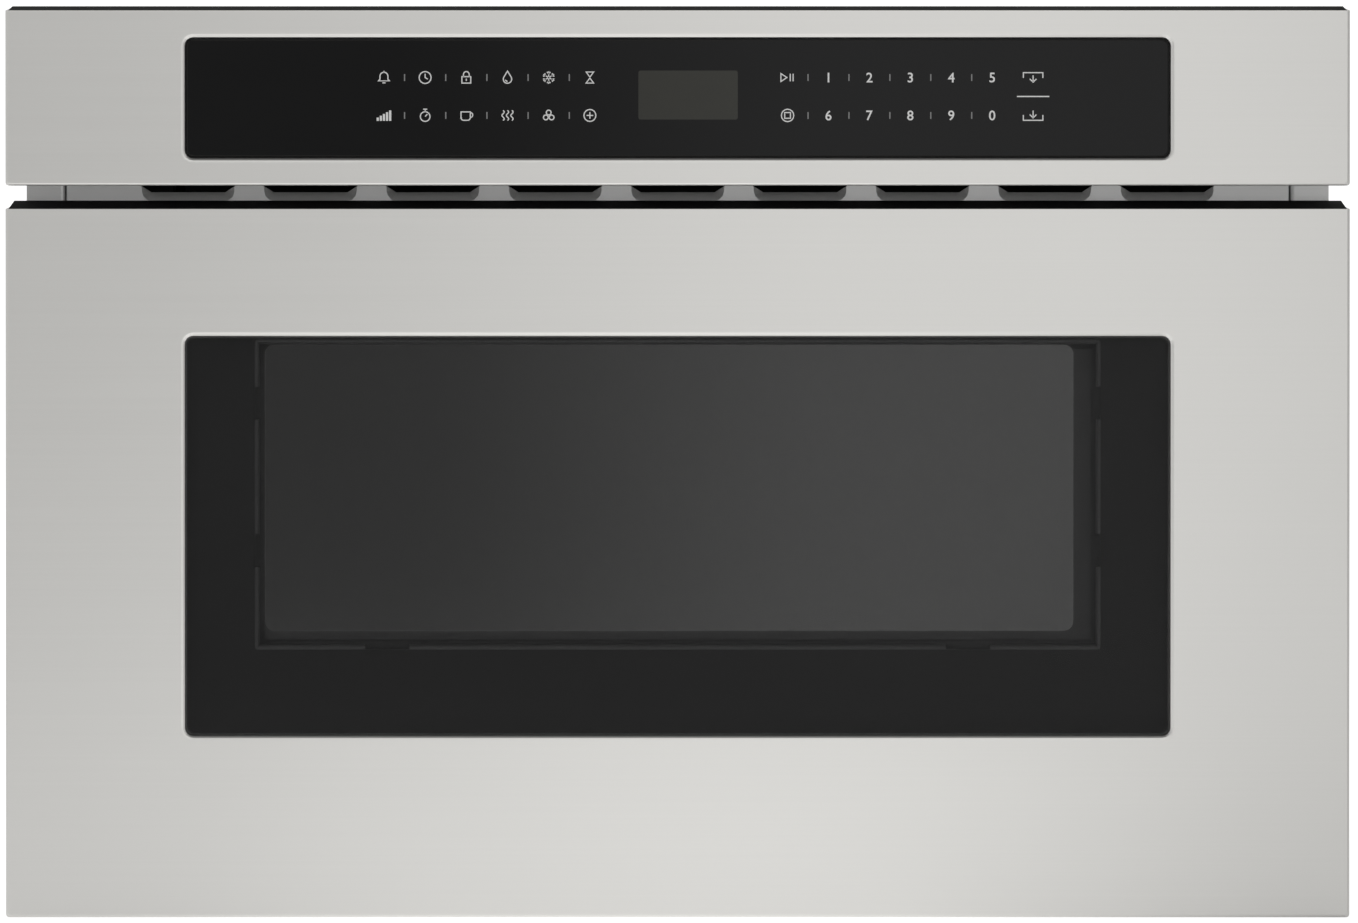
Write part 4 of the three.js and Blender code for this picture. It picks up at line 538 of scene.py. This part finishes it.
# Millimetres
INK = 0.06                      # how far the print stands proud of the glass
STROKE = 0.5
DIGIT_WEIGHT = 0.07             # how far a digit's outline stands out from the plain font's
DIGIT_SIZE = 6.2
DIGIT_SMOOTHNESS = 4            # points along each curve of a digit's outline
KEY_PITCH = 18.45
SIDE_KEYS_AWAY = 3              # pitches from the number keys' middle to the keys on either side of them
DRAWER_KEYS_LINE = 7.3          # half the length of the line between the two drawer keys
NUMBER_KEYS_MIDDLE = 104.9      # right of the object's middle
FUNCTION_KEYS_MIDDLE = -86.0
FUNCTION_KEY_PITCH = 18.57
ROW_HEIGHTS = (9.2, -7.9)       # key rows from the control glass's middle
SEPARATOR = (0.55, 3.1)         # width and length
SEPARATORS = 5                  # in a row, on either side of the display
NARROWEST_MITRE = 0.5           # cuts off the point of a stroke's sharp corner
DISPLAY_SIZE = (44.8, 22.1)
DISPLAY_CORNER = 1.0
DISPLAY_PLACE = (4.7, 1.3)      # from the object's middle, and from the control glass's middle
CORNER_STEPS = 5                # sides of a rounded corner

# Print on the back of the window's glass
PRINT_THICKNESS = 0.1
PRINT_GAP = 0.05                # from the glass, so that their faces don't coincide
PRINT_INSET = 0.3               # inside the glass's edge
PRINT_CORNER = 3.6
PRINT_CLEAR = 0.3               # from the view's edge
VIEW_CORNER = 1.5
INNER_GLASS_PAST_VIEW = (10, 5) # across, and up

# Drawings of the keys' icons, each in millimetres about its middle: lists of strokes, each a list of points
# and whether it closes


def bow(right, up, radius, start, end, steps=8):
    """Points along an arc, its angles in degrees."""
    angles = [math.radians(start + (end - start) * step / steps) for step in range(steps + 1)]
    return [(right + radius * math.cos(angle), up + radius * math.sin(angle)) for angle in angles]


def ring(right, up, radius, steps=16):
    """A full circle."""
    return bow(right, up, radius, 0, 360 - 360 / steps, steps - 1), True


def bar(left, low, right, high):
    return [(left, low), (right, low), (right, high), (left, high)], True


def line(*points):
    return list(points), False


def clock():
    return [ring(0, 0, 2.7), line((0, 1.7), (0, 0), (1.2, -0.7))]


def bell():
    dome = [(-2.5, -1.5), (-1.8, -0.8), *bow(0, 0.6, 1.8, 180, 0), (1.8, -0.8), (2.5, -1.5)]
    return [(dome, True), line((-0.7, -2.4), (0.7, -2.4)), line((0, 2.4), (0, 3.0))]


def padlock():
    return [bar(-2.0, -2.5, 2.0, 0.4), line((-1.3, 0.4), *bow(0, 1.4, 1.3, 180, 0), (1.3, 0.4)),
            line((0, -0.5), (0, -1.5))]


def drop():
    return [([(0, 2.9), *bow(0, -0.7, 1.9, 25, -205, 12)], True), line(*bow(0, -0.7, 1.0, 200, 270, 4))]


def snowflake():
    arms = []
    for turn in range(6):
        out = Vector((0, 1))
        out.rotate(Matrix.Rotation(math.radians(60 * turn), 2))
        aside = Vector((-out.y, out.x))
        arms.append(line(out * 0.35, out * 2.8))
        arms.append(line(out * 2.5 + aside * 0.8, out * 1.7, out * 2.5 - aside * 0.8))
    return arms


def hourglass():
    return [([(-1.7, 2.5), (1.7, 2.5), (0, 0.2)], True), ([(-1.7, -2.5), (0, -0.2), (1.7, -2.5)], True)]


def levels():
    return [bar(right - 0.25, -2.2, right + 0.25, -1.2 + 0.8 * index)
            for index, right in enumerate((-2.8, -1.4, 0, 1.4, 2.8))]


def stopwatch():
    return [ring(0, -0.5, 2.2), line((0, 1.7), (0, 2.6)), line((-0.9, 2.8), (0.9, 2.8)),
            line((0, -0.5), (1.0, 0.6))]


def cup():
    side = [(-2.4, 1.6), (-2.4, -1.0), *bow(-1.2, -1.0, 1.2, 180, 270, 4),
            *bow(0.6, -1.0, 1.2, 270, 360, 4), (1.8, 1.6)]
    return [(side, True), line(*bow(1.8, 0.2, 1.1, 80, -80, 6))]


def heat():
    wave = [(0.55 * math.sin(math.pi * step / 3), -2.3 + 4.6 * step / 9) for step in range(10)]
    return [line(*[(right + aside, up) for aside, up in wave]) for right in (-2.0, 0, 2.0)]


def kernels():
    return [ring(-1.3, -0.9, 1.1, 12), ring(1.3, -0.9, 1.1, 12), ring(0, 1.3, 1.1, 12)]


def plus():
    return [ring(0, 0, 2.7), line((-1.5, 0), (-0.25, 0)), line((0.25, 0), (1.5, 0)),
            line((0, -1.5), (0, 1.5))]


def play():
    return [([(-3.0, 1.8), (-3.0, -1.8), (-0.3, 0)], True), line((1.2, 1.7), (1.2, -1.7)),
            line((2.5, 1.7), (2.5, -1.7))]


def stop():
    return [bar(-1.3, -1.3, 1.3, 1.3), ring(0, 0, 2.8)]


def slide_out():
    return [line((-4.4, -0.2), (-4.4, 2.2), (4.4, 2.2), (4.4, -0.2)), line((0, 1.0), (0, -1.9)),
            line((-1.5, -0.6), (0, -2.1), (1.5, -0.6))]


def slide_in():
    return [line((-4.4, 0.2), (-4.4, -2.2), (4.4, -2.2), (4.4, 0.2)), line((0, 2.2), (0, -0.9)),
            line((-1.5, 0.4), (0, -1.1), (1.5, 0.4))]


def corners_of(points, closed, width):
    """The two sides of a stroke's corners, mitred."""
    pairs = []
    points = [Vector(point) for point in points]
    for index, point in enumerate(points):
        steps = []
        if closed or index:
            steps.append((point - points[index - 1]).normalized())
        if closed or index + 1 < len(points):
            steps.append((points[(index + 1) % len(points)] - point).normalized())
        along = (steps[0] + steps[-1]).normalized()
        mitre = max(NARROWEST_MITRE, along.dot(steps[0]))
        side = Vector((-along.y, along.x)) * width / 2 / mitre
        pairs.append((point + side, point - side))
    return pairs


def draw(mesh, glyph, right, up, width=STROKE):
    """Adds a glyph's strokes as thin solid ribbons on the control glass."""
    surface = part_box("control_glass")[0].y
    for points, closed in glyph:
        rows = []
        for pair in corners_of(points, closed, width):
            rows.append([mesh.verts.new(((right + corner.x) * MM, surface + depth * MM, (up + corner.y) * MM))
                         for depth in (-INK, 0) for corner in pair])
        spans = list(zip(rows, rows[1:] + rows[:1])) if closed else list(zip(rows, rows[1:]))
        for start, end in spans:
            for a, b in ((0, 1), (1, 3), (3, 2), (2, 0)):
                mesh.faces.new((start[a], start[b], end[b], end[a]))
        if not closed:
            for row in (rows[0], rows[-1]):
                mesh.faces.new((row[0], row[1], row[3], row[2]))


def piece_from(mesh, name, material, body):
    """Makes a piece of the scene that rides on a body of the part."""
    bmesh.ops.recalc_face_normals(mesh, faces=mesh.faces)
    data = bpy.data.meshes.new(name)
    mesh.to_mesh(data)
    mesh.free()
    data.materials.append(FINISHES[material])
    piece = bpy.data.objects.new(name, data)
    bpy.context.scene.collection.objects.link(piece)
    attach(piece, body)


def glass_middle():
    low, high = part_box("control_glass")
    return (low.z + high.z) / 2 / MM


def make_digits(mesh):
    """The number keys: plain digits, each centred on its key."""
    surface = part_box("control_glass")[0].y
    for row, digits in enumerate(("12345", "67890")):
        for column, digit in enumerate(digits):
            text = bpy.data.curves.new("digit", "FONT")
            text.body = digit
            text.size = DIGIT_SIZE * MM
            text.resolution_u = DIGIT_SMOOTHNESS
            text.offset = DIGIT_WEIGHT * MM
            glyph = bpy.data.objects.new("digit", text)
            bpy.context.scene.collection.objects.link(glyph)
            bpy.context.view_layer.update()
            flat = bpy.data.meshes.new_from_object(glyph.evaluated_get(bpy.context.evaluated_depsgraph_get()))
            bpy.data.objects.remove(glyph)
            points = [vertex.co for vertex in flat.vertices]
            middle = [(min(p[axis] for p in points) + max(p[axis] for p in points)) / 2 for axis in (0, 1)]
            right = (NUMBER_KEYS_MIDDLE + (column - (len(digits) - 1) / 2) * KEY_PITCH) * MM
            up = (glass_middle() + ROW_HEIGHTS[row]) * MM
            verts = [mesh.verts.new((right + p.x - middle[0], surface - INK * MM, up + p.y - middle[1]))
                     for p in points]
            faces = [mesh.faces.new([verts[index] for index in face.vertices]) for face in flat.polygons]
            raised = bmesh.ops.extrude_face_region(mesh, geom=faces, use_keep_orig=True)["geom"]
            for element in raised:
                if isinstance(element, bmesh.types.BMVert):
                    element.co.y = surface
            bpy.data.meshes.remove(flat)


def make_legends():
    """The keys' digits and icons, and the separators between them."""
    symbols = bmesh.new()
    make_digits(symbols)
    rows = [glass_middle() + height for height in ROW_HEIGHTS]
    functions = ((bell, clock, padlock, drop, snowflake, hourglass),
                 (levels, stopwatch, cup, heat, kernels, plus))
    for up, glyphs in zip(rows, functions):
        for index, glyph in enumerate(glyphs):
            place = index - (len(glyphs) - 1) / 2
            draw(symbols, glyph(), FUNCTION_KEYS_MIDDLE + place * FUNCTION_KEY_PITCH, up)
    start_x = NUMBER_KEYS_MIDDLE - SIDE_KEYS_AWAY * KEY_PITCH
    drawer_x = NUMBER_KEYS_MIDDLE + SIDE_KEYS_AWAY * KEY_PITCH
    for up, glyphs in zip(rows, ((play, slide_out), (stop, slide_in))):
        draw(symbols, glyphs[0](), start_x, up)
        draw(symbols, glyphs[1](), drawer_x, up)
    width, length = SEPARATOR
    between = [line((-DRAWER_KEYS_LINE, 0), (DRAWER_KEYS_LINE, 0))]
    draw(symbols, between, drawer_x, sum(rows) / 2, width)
    piece_from(symbols, "key_symbols", "white_ink", "chassis")

    separators = bmesh.new()
    tick = [line((0, -length / 2), (0, length / 2))]
    for up in rows:
        for index in range(SEPARATORS):
            beside_number = NUMBER_KEYS_MIDDLE + (index - SEPARATORS / 2) * KEY_PITCH
            beside_function = FUNCTION_KEYS_MIDDLE + (index - (SEPARATORS - 1) / 2) * FUNCTION_KEY_PITCH
            draw(separators, tick, beside_number, up, width)
            draw(separators, tick, beside_function, up, width)
    piece_from(separators, "key_separators", "grey_ink", "chassis")


def rounded(left, right, low, high, corner):
    """Points round a rectangle with rounded corners, in millimetres."""
    points = []
    for x, z, start in ((right - corner, high - corner, 0), (left + corner, high - corner, 90),
                        (left + corner, low + corner, 180), (right - corner, low + corner, 270)):
        points += bow(x, z, corner, start, start + 90, CORNER_STEPS)
    return points


def rows_of(mesh, outline, depths):
    """An outline in millimetres as rows of corners, one row for each depth in metres."""
    return [[mesh.verts.new((x * MM, depth, z * MM)) for x, z in outline] for depth in depths]


def bridge(mesh, first, second):
    """Faces between two closed rows of corners."""
    for index in range(len(first)):
        after = (index + 1) % len(first)
        mesh.faces.new((first[index], first[after], second[after], second[index]))


def make_display():
    """The clear window of the display, printed into the black glass."""
    mesh = bmesh.new()
    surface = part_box("control_glass")[0].y
    middle_x, middle_z = DISPLAY_PLACE[0], glass_middle() + DISPLAY_PLACE[1]
    half_x, half_z = DISPLAY_SIZE[0] / 2, DISPLAY_SIZE[1] / 2
    outline = rounded(middle_x - half_x, middle_x + half_x, middle_z - half_z, middle_z + half_z,
                      DISPLAY_CORNER)
    rows = rows_of(mesh, outline, (surface - INK / 2 * MM, surface + INK * MM))
    for row in rows:
        mesh.faces.new(row)
    bridge(mesh, *rows)
    piece_from(mesh, "display_window", "display", "chassis")


def make_window_print():
    """The dark band printed on the back of the window's glass, round the view."""
    mesh = bmesh.new()
    low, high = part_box("window_glass")
    view_low, view_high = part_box("inner_glass")
    outer = rounded(low.x / MM + PRINT_INSET, high.x / MM - PRINT_INSET,
                    low.z / MM + PRINT_INSET, high.z / MM - PRINT_INSET, PRINT_CORNER)
    over_x, over_z = (past - PRINT_CLEAR for past in INNER_GLASS_PAST_VIEW)
    inner = rounded(view_low.x / MM + over_x, view_high.x / MM - over_x,
                    view_low.z / MM + over_z, view_high.z / MM - over_z, VIEW_CORNER)
    depths = (high.y + PRINT_GAP * MM, high.y + (PRINT_GAP + PRINT_THICKNESS) * MM)
    outer_rows, inner_rows = (rows_of(mesh, outline, depths) for outline in (outer, inner))
    bridge(mesh, *outer_rows)
    bridge(mesh, *inner_rows)
    for outside, inside in zip(outer_rows, inner_rows):
        bridge(mesh, outside, inside)
    piece_from(mesh, "window_print", "glass_print", "drawer")


# ---- Screws ---------------------------------------------------------------------------------

SCREW_SIZE = 0.8                # of the outlines below, which are radius and height in millimetres
SCREW_PROFILE = [(4.4, 0), (4.4, 0.5), (3.1, 0.7), (3.0, 1.5), (2.6, 2.1), (1.9, 2.4)]
SCREW_RECESS = [(1.25, 2.4), (0.8, 1.5)]
SCREW_SIDES = 20
# Reach of the cross recess at each side of a quarter turn: the arm's tip, its flank, between the arms
CROSS = (1.35, 0.45, 0.4, 0.4, 0.45)

SCREW_EDGE = 7 * MM             # from the sheets' edges to the rows of screws
REAR_SCREWS_UP = 4
REAR_SCREWS_UP_MARGIN = 14 * MM
REAR_SCREWS_ACROSS = 6
SIDE_SCREWS = 5
SCREW_MARGIN = 40 * MM          # from a row's end to its first screw, on the long rows


def add_screw(mesh, place, outward):
    """A flanged pan head with a cross recess, lying against a surface."""
    out = Vector(outward)
    turn = out.to_track_quat("Z", "Y")
    place = Vector(place)

    def ring_at(radius, height, cross=False):
        ring_verts = []
        for index in range(SCREW_SIDES):
            angle = 2 * math.pi * index / SCREW_SIDES
            reach = radius * (CROSS[index % len(CROSS)] if cross else 1)
            local = Vector((reach * math.cos(angle), reach * math.sin(angle), height)) * SCREW_SIZE * MM
            ring_verts.append(mesh.verts.new(place + turn @ local))
        return ring_verts

    rings = [ring_at(*step) for step in SCREW_PROFILE] + [ring_at(*step, cross=True) for step in SCREW_RECESS]
    for lower, upper in zip(rings, rings[1:]):
        bridge(mesh, lower, upper)
    mesh.faces.new(rings[0])
    mesh.faces.new(rings[-1])


def spaced(low, high, count, margin):
    """Places at equal steps between two ends, the outer ones a margin inside."""
    return [low + margin + (high - low - 2 * margin) * index / (count - 1) for index in range(count)]


def make_chassis_screws():
    """The screws that hold the side, rear and top sheets together."""
    mesh = bmesh.new()
    rear_low, rear_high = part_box("rear_panel")
    side_low, side_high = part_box("side_panel_right")
    top_low, top_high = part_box("top_cover")
    for z in spaced(rear_low.z, rear_high.z, REAR_SCREWS_UP, REAR_SCREWS_UP_MARGIN):
        for x in (rear_low.x + SCREW_EDGE, rear_high.x - SCREW_EDGE):
            add_screw(mesh, (x, rear_high.y, z), (0, 1, 0))
    for x in spaced(rear_low.x, rear_high.x, REAR_SCREWS_ACROSS, SCREW_MARGIN):
        for z in (rear_low.z + SCREW_EDGE, rear_high.z - SCREW_EDGE):
            add_screw(mesh, (x, rear_high.y, z), (0, 1, 0))
    for y in spaced(side_low.y, side_high.y, SIDE_SCREWS, SCREW_MARGIN):
        for z in (side_low.z + SCREW_EDGE, side_high.z - SCREW_EDGE):
            add_screw(mesh, (side_high.x, y, z), (1, 0, 0))
            add_screw(mesh, (-side_high.x, y, z), (-1, 0, 0))
        for x in (top_low.x + SCREW_EDGE, top_high.x - SCREW_EDGE):
            add_screw(mesh, (x, y, top_high.z), (0, 0, 1))
    piece_from(mesh, "chassis_screws", "bright_steel", "chassis")


# ---- Main -----------------------------------------------------------------------------------

bpy.context.scene.view_settings.view_transform = "Standard"
make_camera()
make_finishes()
make_floor()
make_light()
dress_cad()
make_legends()
make_display()
make_window_print()
make_chassis_screws()
